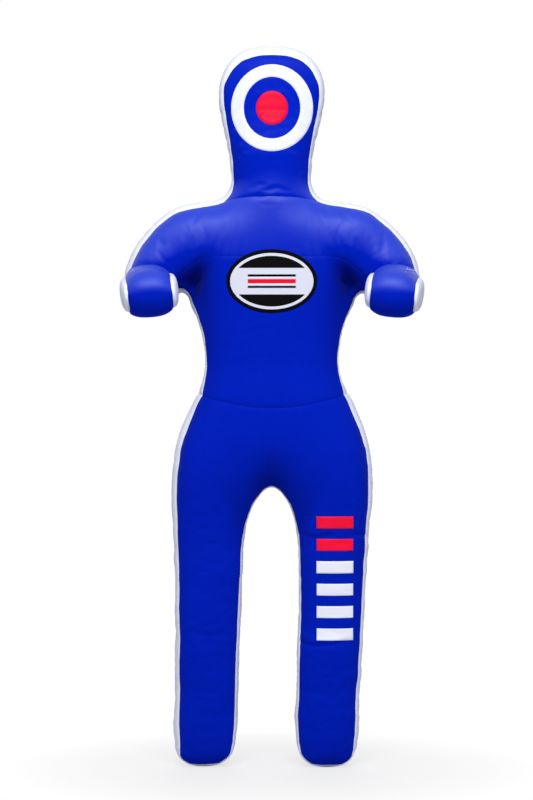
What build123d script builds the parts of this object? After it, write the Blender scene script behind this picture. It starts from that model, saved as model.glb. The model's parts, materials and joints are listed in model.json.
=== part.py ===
from build123d import *
import os
from math import cos, radians, sin

os.makedirs("parts", exist_ok=True)

# A stuffed grappling dummy that stands on its two feet and faces -Y, with its forearms held out in
# front. X runs across the body, Z up, and the origin is on the floor, under the middle of its box.
# Each stretch of the body is a boxed cover, of a front panel, a back panel and side gussets, round
# stuffing. The covers are cut from smooth body forms at the seams where the stuffing lets it bend.

# ---- driving dimensions, in millimetres ----
HEIGHT = 1778.0          # sole to crown, a full-size adult dummy
HEAD_R = 130.0           # widest radius of the head
HEAD_WIDEST_Z = 1661.0
NECK_R = 98.0
NECK_TOP_Z = 1450.0      # where the head narrows into the neck
NECK_Z = 1418.0          # axis that the head nods about
WAIST_Z = 985.0          # axis that the trunk bends about, at its narrowest
HIP_Z = 700.0            # axis that the legs swing about
KNEE_Z = 320.0
SHOULDER_Z = 1290.0      # axis that the arms swing about
SHOULDER_X = 160.0       # plane of the armhole seam
ARMHOLE_R = 97.0
BICEP_X, BICEP_Z, BICEP_R = 250.0, 1265.0, 88.0
ELBOW_X, ELBOW_Z = 303.0, 1180.0
ARM_R = 76.0             # upper arm where it meets the elbow
FOREARM_R = 72.0
FOREARM_REACH = 240.0    # from the body's mid plane to the end of the forearm
FOREARM_TIP_R = 40.0     # rounding of the forearm's end
LEG_X = 155.0            # middle of each leg
THIGH_R = 85.0
ANKLE_R = 76.0
FOOT_DOME = 45.0         # height of the rounded foot end
SOLE_R = 55.0            # flat that the foot stands on
TRUNK_BASE_Z = 640.0
TRUNK_TOP_Z = 1404.0
BACK_DEPTH = 114.0       # from the mid plane to the straight stretch of the back

# half widths and half depths of the trunk, from the seat up to the shoulders
TRUNK_SECTIONS = [
    (TRUNK_BASE_Z, 244.0, BACK_DEPTH),
    (707.0, 247.0, BACK_DEPTH + 10),
    (780.0, 240.0, BACK_DEPTH + 13),
    (870.0, 208.0, BACK_DEPTH + 5),
    (940.0, 172.0, BACK_DEPTH),
    (1001.0, 163.0, BACK_DEPTH),
    (1083.0, 173.0, BACK_DEPTH),
    (1152.0, 205.0, BACK_DEPTH),
    (1240.0, 268.0, BACK_DEPTH),
    (1320.0, 292.0, BACK_DEPTH - 6),
    (1375.0, 225.0, BACK_DEPTH - 24),
    (TRUNK_TOP_Z, 120.0, BACK_DEPTH - 52),
]

COVER = 2.0              # fabric of the cover, with its lining
FILL_GAP = 0.3           # cover to stuffing
JOINT_GAP = 0.6          # between two stretches that turn against each other
GUSSET = 100.0           # width of the strip between the front and back panels
FOREARM_BAND = 112.0     # width of the strip over the top and underside of a forearm
YOKE_Z = 1258.0          # seam between the chest yoke and the belly panel

# radii of the barrels at the bending lines, and how far each side is cut back there, in degrees
NECK_BARREL, NECK_FRONT, NECK_BACK = 80.0, 14.0, 12.0
WAIST_BARREL, WAIST_FRONT, WAIST_BACK = 88.0, 16.0, 9.0
HIP_BARREL, HIP_FRONT_ABOVE, HIP_FRONT_BELOW, HIP_BACK_BELOW = 95.0, 18.0, 30.0, 12.0
KNEE_BARREL, KNEE_BACK_ABOVE, KNEE_BACK_BELOW = 66.0, 18.0, 34.0
ELBOW_BARREL, ELBOW_BELOW, ELBOW_ABOVE = 72.0, 26.0, 64.0
ARMPIT_GAP = 14.0        # room under the armhole for the arm to turn

# target on the face and patch on the chest
APPLIQUE = 1.5
APPLIQUE_GAP = 0.2
TARGET_Z = 1628.0
RING_R, RING_INNER_R, DISC_R = 104.0, 72.0, 41.0
PATCH_Z, PATCH_HALF_W, PATCH_HALF_H, PATCH_BORDER = 1196.0, 115.0, 79.0, 10.0
BAR_W, BAR_H, BAR_PITCH = 90.0, 30.0, 55.0
WHITE_BARS, RED_BARS = 4, 2                # bars up the left thigh, red above white
LOWEST_BAR_Z = 333.0

# zipper in the middle of the back
ZIP_BOTTOM_Z, ZIP_TOP_Z = 1045.0, 1265.0
TAPE_W, TAPE_T, TAPE_PROUD = 34.0, 2.4, 1.5
GROOVE_GAP = 0.3
TEETH_W, TEETH_T = 7.0, 3.0
SLIDER_W, SLIDER_L, SLIDER_T = 16.0, 22.0, 6.4
SLIDE_GAP = 0.3          # slider to teeth and tapes
STOP_L = 6.0
PULL_W, PULL_L, PULL_T = 9.0, 38.0, 2.0
EAR_T = 2.2
PIN_R = 1.4
PIN_FIT = 0.05
HUB_R = 2.8

# ---- values that follow from them ----
BODY_Y = (FOREARM_REACH - HEAD_R) / 2      # centres the box on the origin
REACH = 900.0                              # larger than anything that a cutter has to pass
ZIP_Y = BODY_Y + BACK_DEPTH + TAPE_PROUD   # outer face of the zipper tapes
SIDES = {"left": 1, "right": -1}           # the dummy's own left hand is at +X, as it faces -Y


def finish(piece, label):
    piece.part.label = label
    export_step(piece.part, f"parts/{label}.step")
    print(f"{label}: {len(piece.part.solids())} solid(s), {piece.part.volume / 1000:.1f} cm3")


# ---- cutters ----
def sector(z, start, end):
    """A wedge across the whole body about the X axis at height z. Angles are in degrees, from the
    back (+Y) through the top (+Z) to the front."""
    with BuildPart() as wedge:
        with BuildSketch(Plane.YZ.offset(-REACH)):
            with BuildLine():
                steps = max(2, int((end - start) / 60) + 1)
                turn = [start + (end - start) * i / steps for i in range(steps + 1)]
                rim = [
                    (BODY_Y + 2 * REACH * cos(radians(t)), z + 2 * REACH * sin(radians(t)))
                    for t in turn
                ]
                Polyline((BODY_Y, z), *rim, close=True)
            make_face()
        extrude(amount=2 * REACH)
    return wedge.part


def barrel(z, radius, x_from=-REACH, x_to=REACH):
    """A cylinder along X at height z in the body's mid plane."""
    with BuildPart() as roll:
        with BuildSketch(Plane.YZ.offset(x_from)):
            with Locations((BODY_Y, z)):
                Circle(radius)
        extrude(amount=x_to - x_from)
    return roll.part


def slab(low, high):
    """A box between two corners."""
    with BuildPart() as block:
        middle = [(a + b) / 2 for a, b in zip(low, high)]
        with Locations(tuple(middle)):
            Box(*[b - a for a, b in zip(low, high)])
    return block.part


# ---- body forms: smooth closed solids, smaller all round by `inset` ----
def head_form(inset):
    with BuildPart() as form:
        with BuildSketch(Plane(origin=(0, BODY_Y, 0), x_dir=(1, 0, 0), z_dir=(0, -1, 0))):
            with BuildLine():
                outline = Spline(
                    (0, HEIGHT - inset),
                    (HEAD_R - inset, HEAD_WIDEST_Z),
                    (NECK_R - inset, NECK_TOP_Z),
                    tangents=[(1, 0), (0, -1), (0, -1)],
                )
                Polyline(
                    outline @ 1, (NECK_R - inset, NECK_Z - NECK_R), (0, NECK_Z - NECK_R), outline @ 0
                )
            make_face()
        revolve(axis=Axis((0, BODY_Y, 0), (0, 0, 1)))
    return form.part


def trunk_form(inset):
    with BuildPart() as form:
        for z, half_width, half_depth in TRUNK_SECTIONS:
            level = z
            if z == TRUNK_BASE_Z:
                level = z + inset
            elif z == TRUNK_TOP_Z:
                level = z - inset
            with BuildSketch(Plane((0, BODY_Y, level))):
                Ellipse(half_width - inset, half_depth - inset)
        loft()
    return form.part


def leg_form(side, inset):
    with BuildPart() as form:
        leg = Plane(origin=(side * LEG_X, BODY_Y, 0), x_dir=(1, 0, 0), z_dir=(0, -1, 0))
        with BuildSketch(leg):
            with BuildLine():
                sole = Line((0, inset), (SOLE_R - inset, inset))
                toe = Spline(
                    sole @ 1, (ANKLE_R - inset, FOOT_DOME), tangents=[(1, 0.15), (0, 1)]
                )
                Polyline(
                    toe @ 1,
                    (THIGH_R - inset, HIP_Z - HIP_BARREL / 2),
                    (THIGH_R - inset, HIP_Z + HIP_BARREL / 2),
                    (0, HIP_Z + HIP_BARREL / 2),
                    sole @ 0,
                )
            make_face()
        revolve(axis=Axis((side * LEG_X, BODY_Y, 0), (0, 0, 1)))
    return form.part


def upper_arm_form(side, inset):
    """From the armhole, over the shoulder and down past the elbow."""
    start = SHOULDER_X + JOINT_GAP
    stations = [
        ((start, SHOULDER_Z), (1, 0), ARMHOLE_R),
        ((BICEP_X, BICEP_Z), (1, -1), BICEP_R),
        ((ELBOW_X, ELBOW_Z + ARM_R / 4), (0, -1), ARM_R),
        ((ELBOW_X, ELBOW_Z - ELBOW_BARREL), (0, -1), ARM_R),
    ]
    with BuildPart() as form:
        for (x, z), (dx, dz), radius in stations:
            across = Plane(
                origin=(side * x, BODY_Y, z), x_dir=(0, 1, 0), z_dir=(side * dx, 0, dz)
            )
            with BuildSketch(across):
                Circle(radius - inset)
        loft()
    return form.part


def forearm_form(side, inset):
    """From behind the elbow to the rounded end in front of the chest."""
    front = FOREARM_REACH - inset
    tip = FOREARM_TIP_R - inset
    radius = FOREARM_R - inset
    with BuildPart() as form:
        arm = Plane(origin=(side * ELBOW_X, BODY_Y, ELBOW_Z), x_dir=(1, 0, 0), z_dir=(0, 0, 1))
        with BuildSketch(arm):
            with BuildLine():
                Polyline(
                    (0, -front), (0, ELBOW_BARREL), (radius, ELBOW_BARREL), (radius, tip - front)
                )
                RadiusArc((radius, tip - front), (radius - tip, -front), tip)
                Line((radius - tip, -front), (0, -front))
            make_face()
        revolve(axis=Axis((side * ELBOW_X, BODY_Y, ELBOW_Z), (0, 1, 0)))
    return form.part


# ---- the stretches: where each body begins and ends, cut from the forms ----
def joined(*pieces):
    with BuildPart() as whole:
        for piece in pieces:
            add(piece)
    return whole.part


def shared(first, second):
    with BuildPart() as common:
        add(first)
        add(second, mode=Mode.INTERSECT)
    return common.part


def less(first, *others):
    with BuildPart() as rest:
        add(first)
        for other in others:
            add(other, mode=Mode.SUBTRACT)
    return rest.part


def above(z, back, front):
    return sector(z, back, 180 - front)


def below(z, back, front):
    return sector(z, 180 + front, 360 - back)


def head_stretch(inset):
    upper = less(above(NECK_Z, NECK_BACK, NECK_FRONT), barrel(NECK_Z, NECK_BARREL + JOINT_GAP))
    return shared(head_form(inset), upper)


def torso_stretch(inset):
    shoulders = [
        slab(
            (side * SHOULDER_X if side > 0 else -REACH, -REACH, SHOULDER_Z - ARMHOLE_R - ARMPIT_GAP),
            (REACH if side > 0 else -SHOULDER_X, REACH, REACH * 2),
        )
        for side in SIDES.values()
    ]
    keep = joined(above(WAIST_Z, WAIST_BACK, WAIST_FRONT), barrel(WAIST_Z, WAIST_BARREL))
    chest = less(shared(trunk_form(inset), keep), *shoulders)
    stub = shared(
        head_form(inset), joined(below(NECK_Z, NECK_BACK, NECK_FRONT), barrel(NECK_Z, NECK_BARREL))
    )
    return joined(chest, stub)


def pelvis_stretch(inset):
    hips = [
        barrel(
            HIP_Z,
            HIP_BARREL - inset,
            side * LEG_X - THIGH_R + inset,
            side * LEG_X + THIGH_R - inset,
        )
        for side in SIDES.values()
    ]
    block = shared(trunk_form(inset), above(HIP_Z, 0, HIP_FRONT_ABOVE))
    lap = less(
        below(WAIST_Z, WAIST_BACK, WAIST_FRONT), barrel(WAIST_Z, WAIST_BARREL + JOINT_GAP)
    )
    return joined(shared(block, lap), *hips)


def thigh_stretch(side, inset):
    lower = less(
        below(HIP_Z, HIP_BACK_BELOW, HIP_FRONT_BELOW), barrel(HIP_Z, HIP_BARREL + JOINT_GAP)
    )
    keep = joined(above(KNEE_Z, KNEE_BACK_ABOVE, 0), barrel(KNEE_Z, KNEE_BARREL))
    return shared(shared(leg_form(side, inset), lower), keep)


def shin_stretch(side, inset):
    lower = less(
        below(KNEE_Z, KNEE_BACK_BELOW, JOINT_GAP), barrel(KNEE_Z, KNEE_BARREL + JOINT_GAP)
    )
    return shared(leg_form(side, inset), lower)


def upper_arm_stretch(side, inset):
    keep = joined(sector(ELBOW_Z, 0, 180 - ELBOW_ABOVE), barrel(ELBOW_Z, ELBOW_BARREL - inset))
    return shared(upper_arm_form(side, inset), keep)


def forearm_stretch(side, inset):
    front = less(
        sector(ELBOW_Z, 180 - ELBOW_BELOW, 270), barrel(ELBOW_Z, ELBOW_BARREL + JOINT_GAP)
    )
    return shared(forearm_form(side, inset), front)


# ---- covers: the skin between two forms, split at the seams ----
def panels_and_stuffing(name, stretch, cuts, slot=None):
    """Writes the panels of one stretch's cover, one for each cutter, and its stuffing."""
    skin = less(stretch(0), stretch(COVER))
    if slot is not None:
        skin = less(skin, slot)
    for panel, cutter in cuts.items():
        with BuildPart() as cover_panel:
            add(skin)
            add(cutter, mode=Mode.INTERSECT)
        finish(cover_panel, f"{name}_{panel}")
    with BuildPart() as stuffing:
        add(stretch(COVER + FILL_GAP))
    finish(stuffing, f"{name}_stuffing")


front_half = slab((-REACH, -REACH, -REACH), (REACH, BODY_Y - GUSSET / 2, 3 * REACH))
back_half = slab((-REACH, BODY_Y + GUSSET / 2, -REACH), (REACH, REACH, 3 * REACH))
gusset_strip = slab(
    (-REACH, BODY_Y - GUSSET / 2, -REACH), (REACH, BODY_Y + GUSSET / 2, 3 * REACH)
)
above_yoke_seam = slab((-REACH, -REACH, YOKE_Z), (REACH, REACH, 3 * REACH))
boxed = {"front_panel": front_half, "back_panel": back_half, "gusset": gusset_strip}

panels_and_stuffing("head", head_stretch, boxed)

# ---- zipper: a straight track on the flat of the back ----
track_middle = (ZIP_BOTTOM_Z + ZIP_TOP_Z) / 2
track_length = ZIP_TOP_Z - ZIP_BOTTOM_Z
tape_groove = slab(
    (-TAPE_W / 2 - GROOVE_GAP, ZIP_Y - TAPE_T - GROOVE_GAP, ZIP_BOTTOM_Z - GROOVE_GAP),
    (TAPE_W / 2 + GROOVE_GAP, ZIP_Y + SLIDER_L, ZIP_TOP_Z + GROOVE_GAP),
)

with BuildPart() as tapes:
    with BuildSketch(Plane.XZ.offset(-ZIP_Y)):
        with Locations((0, track_middle)):
            Rectangle(TAPE_W, track_length)
    extrude(amount=TAPE_T)
    fillet(tapes.edges().filter_by(Axis.Y), radius=TAPE_T)
finish(tapes, "zipper_tape")

with BuildPart() as teeth:
    with BuildSketch(Plane.XZ.offset(-ZIP_Y)):
        with Locations((0, track_middle)):
            Rectangle(TEETH_W, track_length - 2 * STOP_L)
    extrude(amount=-TEETH_T)
finish(teeth, "zipper_teeth")

with BuildPart() as stops:
    with BuildSketch(Plane.XZ.offset(-ZIP_Y)):
        with Locations(
            (0, ZIP_BOTTOM_Z + STOP_L / 2), (0, ZIP_TOP_Z - STOP_L / 2)
        ):
            Rectangle(SLIDER_W, STOP_L)
    extrude(amount=-TEETH_T)
finish(stops, "zipper_stops")

slider_top = ZIP_TOP_Z - STOP_L - SLIDE_GAP
slider_face = ZIP_Y + SLIDE_GAP + SLIDER_T
pin_y = slider_face + HUB_R
pin_z = slider_top - SLIDER_L / 2
ear_middle = PULL_W / 2 + SLIDE_GAP + EAR_T / 2

with BuildPart() as slider:
    with BuildSketch(Plane.XZ.offset(-(ZIP_Y + SLIDE_GAP))):
        with Locations((0, slider_top - SLIDER_L / 2)):
            Rectangle(SLIDER_W, SLIDER_L)
    extrude(amount=-SLIDER_T)
    fillet(slider.edges().filter_by(Axis.Y), radius=SLIDER_W / 5)
    with BuildSketch(Plane.XY.offset(slider_top)):
        with Locations((0, ZIP_Y + SLIDE_GAP + TEETH_T / 2)):
            Rectangle(TEETH_W + 2 * SLIDE_GAP, TEETH_T + 2 * SLIDE_GAP)
    extrude(amount=-SLIDER_L, mode=Mode.SUBTRACT)
    for side in SIDES.values():
        with BuildSketch(Plane.YZ.offset(side * ear_middle - EAR_T / 2)):
            with Locations((pin_y - HUB_R / 2, pin_z)):
                Rectangle(3 * HUB_R, 2 * HUB_R)
        extrude(amount=EAR_T)
    with BuildSketch(Plane.YZ.offset(-ear_middle)):
        with Locations((pin_y, pin_z)):
            Circle(PIN_R)
    extrude(amount=2 * ear_middle)
finish(slider, "zipper_slider")

with BuildPart() as pull:
    with BuildSketch(Plane.YZ.offset(-PULL_W / 2)):
        with Locations((pin_y, pin_z)):
            Circle(HUB_R - SLIDE_GAP)
        with Locations((pin_y, pin_z - PULL_L / 2)):
            Rectangle(PULL_T, PULL_L)
    extrude(amount=PULL_W)
    with BuildSketch(Plane.YZ.offset(-PULL_W / 2)):
        with Locations((pin_y, pin_z)):
            Circle(PIN_R + PIN_FIT)
    extrude(amount=PULL_W, mode=Mode.SUBTRACT)
finish(pull, "zipper_pull")

# ---- trunk ----
torso_cuts = {
    "yoke_panel": shared(front_half, above_yoke_seam),
    "belly_panel": less(front_half, above_yoke_seam),
    "back_panel": back_half,
    "gusset": gusset_strip,
}
panels_and_stuffing("torso", torso_stretch, torso_cuts, slot=tape_groove)
panels_and_stuffing("pelvis", pelvis_stretch, boxed)

# ---- limbs ----
for side_name, side in SIDES.items():
    band = slab(
        (side * ELBOW_X - FOREARM_BAND / 2, -REACH, ELBOW_Z),
        (side * ELBOW_X + FOREARM_BAND / 2, REACH, 3 * REACH),
    )
    under_band = slab(
        (side * ELBOW_X - FOREARM_BAND / 2, -REACH, -REACH),
        (side * ELBOW_X + FOREARM_BAND / 2, REACH, ELBOW_Z),
    )
    everything = slab((-REACH, -REACH, -REACH), (REACH, REACH, 3 * REACH))
    forearm_cuts = {
        "upper_panel": band,
        "lower_panel": under_band,
        "side_panels": less(everything, band, under_band),
    }
    panels_and_stuffing(f"{side_name}_upper_arm", lambda inset: upper_arm_stretch(side, inset), boxed)
    panels_and_stuffing(f"{side_name}_forearm", lambda inset: forearm_stretch(side, inset), forearm_cuts)
    panels_and_stuffing(f"{side_name}_thigh", lambda inset: thigh_stretch(side, inset), boxed)
    panels_and_stuffing(f"{side_name}_lower_leg", lambda inset: shin_stretch(side, inset), boxed)


# ---- appliques: thin pieces that follow the cover under them ----
def applique(name, form, outline):
    """The part of a thin layer over a body form that lies in front of an outline."""
    layer = less(form(-APPLIQUE_GAP - APPLIQUE), form(-APPLIQUE_GAP))
    with BuildPart() as piece:
        add(layer)
        with BuildSketch(Plane.XZ.offset(-BODY_Y)) as shape:
            outline()
        extrude(shape.sketch, amount=REACH, mode=Mode.INTERSECT)
    finish(piece, name)


def target_ring():
    with Locations((0, TARGET_Z)):
        Circle(RING_R)
        Circle(RING_INNER_R, mode=Mode.SUBTRACT)


def target_disc():
    with Locations((0, TARGET_Z)):
        Circle(DISC_R)


def patch_border():
    with Locations((0, PATCH_Z)):
        Ellipse(PATCH_HALF_W, PATCH_HALF_H)
        Ellipse(PATCH_HALF_W - PATCH_BORDER, PATCH_HALF_H - PATCH_BORDER, mode=Mode.SUBTRACT)


def patch_field():
    with Locations((0, PATCH_Z)):
        Ellipse(PATCH_HALF_W - PATCH_BORDER, PATCH_HALF_H - PATCH_BORDER)


def bars(first, count):
    """Level bars on the left thigh, counted from the lowest."""
    def outline():
        with Locations(*[(LEG_X, LOWEST_BAR_Z + (first + i) * BAR_PITCH) for i in range(count)]):
            Rectangle(BAR_W, BAR_H)

    return outline


def left_leg(inset):
    return leg_form(SIDES["left"], inset)


applique("head_target_ring", head_form, target_ring)
applique("head_target_disc", head_form, target_disc)
applique("chest_patch_border", trunk_form, patch_border)
applique("chest_patch_field", trunk_form, patch_field)
applique("left_thigh_white_bars", left_leg, bars(0, WHITE_BARS))
applique("left_thigh_red_bars", left_leg, bars(WHITE_BARS, RED_BARS))
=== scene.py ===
# %% [markdown]
# A stuffed grappling dummy is sewn like a boxed cushion: a front panel and a back panel of coated
# canvas, held apart by a white gusset strip that runs round the outline. The filling pushes the
# panels out, the seams hold them in, and that is what gives the dummy its soft shape. The same
# steps make it here: draw the outline, stand it up as a slab, remesh it, then let it swell.

import json
import math

import bmesh
import bpy
import numpy as np
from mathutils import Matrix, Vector
from mathutils.bvhtree import BVHTree
from mathutils.kdtree import KDTree

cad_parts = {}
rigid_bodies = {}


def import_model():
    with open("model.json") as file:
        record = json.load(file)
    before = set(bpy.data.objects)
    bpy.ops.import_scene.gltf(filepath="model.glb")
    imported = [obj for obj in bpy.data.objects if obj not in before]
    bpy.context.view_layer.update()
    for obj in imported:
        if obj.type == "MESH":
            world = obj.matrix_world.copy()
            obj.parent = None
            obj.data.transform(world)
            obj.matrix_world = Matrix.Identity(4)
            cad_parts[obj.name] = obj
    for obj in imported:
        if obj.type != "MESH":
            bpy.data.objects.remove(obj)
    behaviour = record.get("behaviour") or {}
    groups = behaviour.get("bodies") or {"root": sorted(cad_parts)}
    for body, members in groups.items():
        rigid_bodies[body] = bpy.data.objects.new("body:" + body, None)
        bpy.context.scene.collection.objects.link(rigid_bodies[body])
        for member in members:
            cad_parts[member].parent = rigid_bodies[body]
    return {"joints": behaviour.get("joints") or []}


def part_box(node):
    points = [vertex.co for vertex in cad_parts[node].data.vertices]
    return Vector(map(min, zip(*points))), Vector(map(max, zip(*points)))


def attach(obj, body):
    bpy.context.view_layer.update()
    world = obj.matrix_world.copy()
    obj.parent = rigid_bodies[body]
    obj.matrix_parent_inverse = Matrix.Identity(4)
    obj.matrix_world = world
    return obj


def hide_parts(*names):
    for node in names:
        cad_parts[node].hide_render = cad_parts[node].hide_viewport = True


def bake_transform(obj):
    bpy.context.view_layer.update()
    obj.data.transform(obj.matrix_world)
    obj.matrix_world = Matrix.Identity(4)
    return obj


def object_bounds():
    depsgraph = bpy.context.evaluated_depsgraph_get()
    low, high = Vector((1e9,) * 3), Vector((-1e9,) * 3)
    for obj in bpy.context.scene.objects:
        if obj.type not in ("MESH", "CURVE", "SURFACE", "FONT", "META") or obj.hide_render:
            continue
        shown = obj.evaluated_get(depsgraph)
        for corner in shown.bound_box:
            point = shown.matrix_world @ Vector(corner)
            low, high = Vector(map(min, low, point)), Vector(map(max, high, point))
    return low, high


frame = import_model()
cad_low, cad_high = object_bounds()
joint = {j["name"]: j for j in frame["joints"]}
MID_Y = joint["neck_nod"]["pos_m"][1]
SHOULDER_X, _, SHOULDER_Z = joint["left_shoulder_swing"]["pos_m"]
ELBOW_X, _, ELBOW_Z = joint["left_elbow_bend"]["pos_m"]
CROWN_Z = cad_high.z
print("CAD box", tuple(cad_low), tuple(cad_high))

# %% [markdown]
# The outline is half a figure, from the crown down one side to the crotch, as the pattern maker
# would chalk it on folded cloth. A Bezier curve with automatic handles passes through the points,
# so only the points that the shape needs are given. It is mirrored to make the other half.

# %% outline
HALF_OUTLINE = [
    (0.052, CROWN_Z - 0.006), (0.094, 1.750), (0.1245, 1.700), (0.1295, 1.655), (0.1235, 1.602),
    (0.110, 1.5425), (0.1005, 1.483), (0.1015, 1.424), (0.122, 1.4035), (0.175, 1.3945),
    (0.228, 1.382), (0.267, 1.3596), (0.319, 1.310), (0.350, 1.2607), (0.3645, 1.212),
    (0.368, 1.168), (0.352, 1.132), (0.305, 1.117), (0.262, 1.126), (0.239, 1.150),
    (0.2255, 1.173), (0.211, 1.163), (0.200, 1.137), (0.183, 1.100), (0.168, 1.041),
    (0.1645, 0.998), (0.172, 0.958), (0.2015, 0.892), (0.2324, 0.818), (0.246, 0.744),
    (0.2495, 0.670), (0.2435, 0.596), (0.2385, 0.4845), (0.2336, 0.336), (0.230, 0.188),
    (0.227, 0.070), (0.213, 0.020), (0.152, 0.001), (0.092, 0.020), (0.0745, 0.0766),
    (0.0717, 0.188), (0.0717, 0.336), (0.0695, 0.4845), (0.0655, 0.5587), (0.0519, 0.628),
    (0.028, 0.670),
]
GUSSET = 0.100
VOXEL = 0.007


def outline_points():
    """The whole outline, once round: down the +X side, through the crotch and up the other."""
    right = list(HALF_OUTLINE)
    left = [(-x, z) for x, z in reversed(right)]
    return [(0, CROWN_Z)] + right + [(0, 0.687)] + left


def slab_mesh(points, thickness, voxel):
    """An outline of (x, z) points stood up as a slab, remeshed to even quads."""
    curve = bpy.data.curves.new("outline", "CURVE")
    curve.dimensions, curve.fill_mode = "2D", "BOTH"
    curve.extrude = thickness / 2
    curve.resolution_u = 12
    spline = curve.splines.new("BEZIER")
    spline.bezier_points.add(len(points) - 1)
    for knot, (x, z) in zip(spline.bezier_points, points):
        knot.co = (x, z, 0)
        knot.handle_left_type = knot.handle_right_type = "AUTO"
    spline.use_cyclic_u = True
    drawn = bpy.data.objects.new("outline", curve)
    bpy.context.scene.collection.objects.link(drawn)
    bpy.context.view_layer.update()
    depsgraph = bpy.context.evaluated_depsgraph_get()
    mesh = bpy.data.meshes.new_from_object(drawn.evaluated_get(depsgraph))
    # the curve lies in its own XY plane: stand it up, so that its Y becomes height
    bm = bmesh.new()
    bm.from_mesh(mesh)
    for vertex in bm.verts:
        x, height, depth = vertex.co
        vertex.co = (x, -depth, height)
    bmesh.ops.remove_doubles(bm, verts=bm.verts, dist=1e-5)
    bmesh.ops.recalc_face_normals(bm, faces=bm.faces)
    bm.to_mesh(mesh)
    bm.free()
    rim = flat_outline(drawn)
    bpy.data.objects.remove(drawn)
    slab = bpy.data.objects.new("slab", mesh)
    bpy.context.scene.collection.objects.link(slab)
    remesh = slab.modifiers.new("remesh", "REMESH")
    remesh.mode, remesh.voxel_size = "VOXEL", voxel
    bpy.context.view_layer.update()
    even = bpy.data.meshes.new_from_object(slab.evaluated_get(bpy.context.evaluated_depsgraph_get()))
    bpy.data.objects.remove(slab)
    return even, rim


def flat_outline(drawn):
    """Points close together along the outline curve, as (x, z)."""
    curve = drawn.data.copy()
    curve.dimensions = "3D"
    curve.extrude = 0
    curve.resolution_u = 24
    bare = bpy.data.objects.new("rim", curve)
    mesh = bpy.data.meshes.new_from_object(bare)
    rim = np.array([v.co[:2] for v in mesh.vertices])
    bpy.data.objects.remove(bare)
    return rim


slab, rim = slab_mesh(outline_points(), GUSSET, VOXEL)
print("slab:", len(slab.vertices), "vertices;", len(rim), "points round the outline")

# %% [markdown]
# Filling presses each panel out like a drum skin under pressure. The height h of such a skin over
# a flat frame follows (laplacian of h) = h / reach^2 - 1: in a narrow leg it is a low arch, and in
# the wide chest it levels off. The slab's own grid of vertices is the drum: each one is set to the
# mean of its neighbours again and again until nothing moves, which is quick with whole arrays.

# %% fields over the slab
REACH = 0.075            # how far from a seam the skin levels off
INSET_REACH = 0.070      # how far in from the outline the panels are drawn inwards


def mesh_arrays(mesh):
    """Vertex places and the two ends of every edge, as arrays."""
    co = np.empty(len(mesh.vertices) * 3)
    mesh.vertices.foreach_get("co", co)
    ends = np.empty(len(mesh.edges) * 2, dtype=np.int64)
    mesh.edges.foreach_get("vertices", ends)
    return co.reshape(-1, 3), ends.reshape(-1, 2)


def rim_distance(places, rim):
    """Distance from each (x, z) to the outline, and the outline's inward normal there."""
    tree = KDTree(len(rim))
    for i, (x, z) in enumerate(rim):
        tree.insert((x, z, 0), i)
    tree.balance()
    ahead, behind = np.roll(rim, -1, axis=0), np.roll(rim, 1, axis=0)
    along = (ahead - behind) / np.linalg.norm(ahead - behind, axis=1)[:, None]
    normal = np.stack([-along[:, 1], along[:, 0]], axis=1)
    turn = np.sum(rim[:, 0] * ahead[:, 1] - ahead[:, 0] * rim[:, 1])
    if turn < 0:
        normal = -normal
    nearest = np.array([tree.find((x, z, 0))[1] for x, z in places])
    offset = places - rim[nearest]
    return np.abs(np.sum(offset * normal[nearest], axis=1)), normal[nearest], nearest


def drum_height(co, ends, reach):
    """Height of a skin under unit pressure over both faces of a slab, zero on its walls."""
    free = np.abs(co[:, 1]) > co[:, 1].max() - 0.0003
    a, b = ends[:, 0], ends[:, 1]
    weight = 1 / np.maximum(np.sum((co[a] - co[b]) ** 2, axis=1), 1e-8)
    total = np.bincount(a, weight, len(co)) + np.bincount(b, weight, len(co))
    height = np.zeros(len(co))
    for _ in range(900):
        pull = np.bincount(a, weight * height[b], len(co)) + np.bincount(b, weight * height[a], len(co))
        height = np.where(free, (pull + 1) / (total + 1 / reach ** 2), 0)
    return height


slab_co, slab_ends = mesh_arrays(slab)
edge_distance, inward, _ = rim_distance(slab_co[:, [0, 2]], rim)
height = drum_height(slab_co, slab_ends, REACH)
print("drum height, at most:", height.max())

# %% [markdown]
# Now the slab is moved to its swollen shape. The white gusset bows outwards between its two seams,
# so the seams lie a little inside the outline, more on the crown and shoulders, where the filling
# pushes up, and less at the waist. The soft figure also leans a little: its feet stand slightly to
# one side. The panels rise by the drum height. A small softening term keeps the slope at the seam
# below vertical, because a sewn edge is a crease, not a tube.

# %% swell the slab
SOFTEN = 0.030           # keeps the panels' slope at a seam below vertical
FACE_SOFTEN = 0.030      # added on the head, whose face is nearly flat
SOLE_SETTLE = 0.0026     # how far the feet are lowered
DOME = 0.86              # height of the panels for a drum height of one
LEVELS = [0.0, 0.55, 0.78, 0.90, 1.00, 1.30, 1.42, 1.50, 1.62, 1.80]
DOME_AT = [1.00, 1.00, 1.32, 1.28, 1.12, 1.08, 1.04, 1.05, 0.75, 0.75]
GUSSET_AT = [1.00, 1.00, 1.04, 1.04, 1.00, 1.00, 1.00, 1.02, 1.10, 1.10]
SAG_AT = [0.0090, 0.0080, 0.0075, 0.0085, 0.0025, 0.0085, 0.0048, 0.0055, 0.0065, 0.0085]
LEAN_AT = [-0.0160, -0.0040, 0.0000, 0.0010, -0.0030, -0.0010, -0.0030, -0.0040, -0.0020, 0.0000]


def smooth_step(t):
    t = np.clip(t, 0, 1)
    return t * t * (3 - 2 * t)


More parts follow.
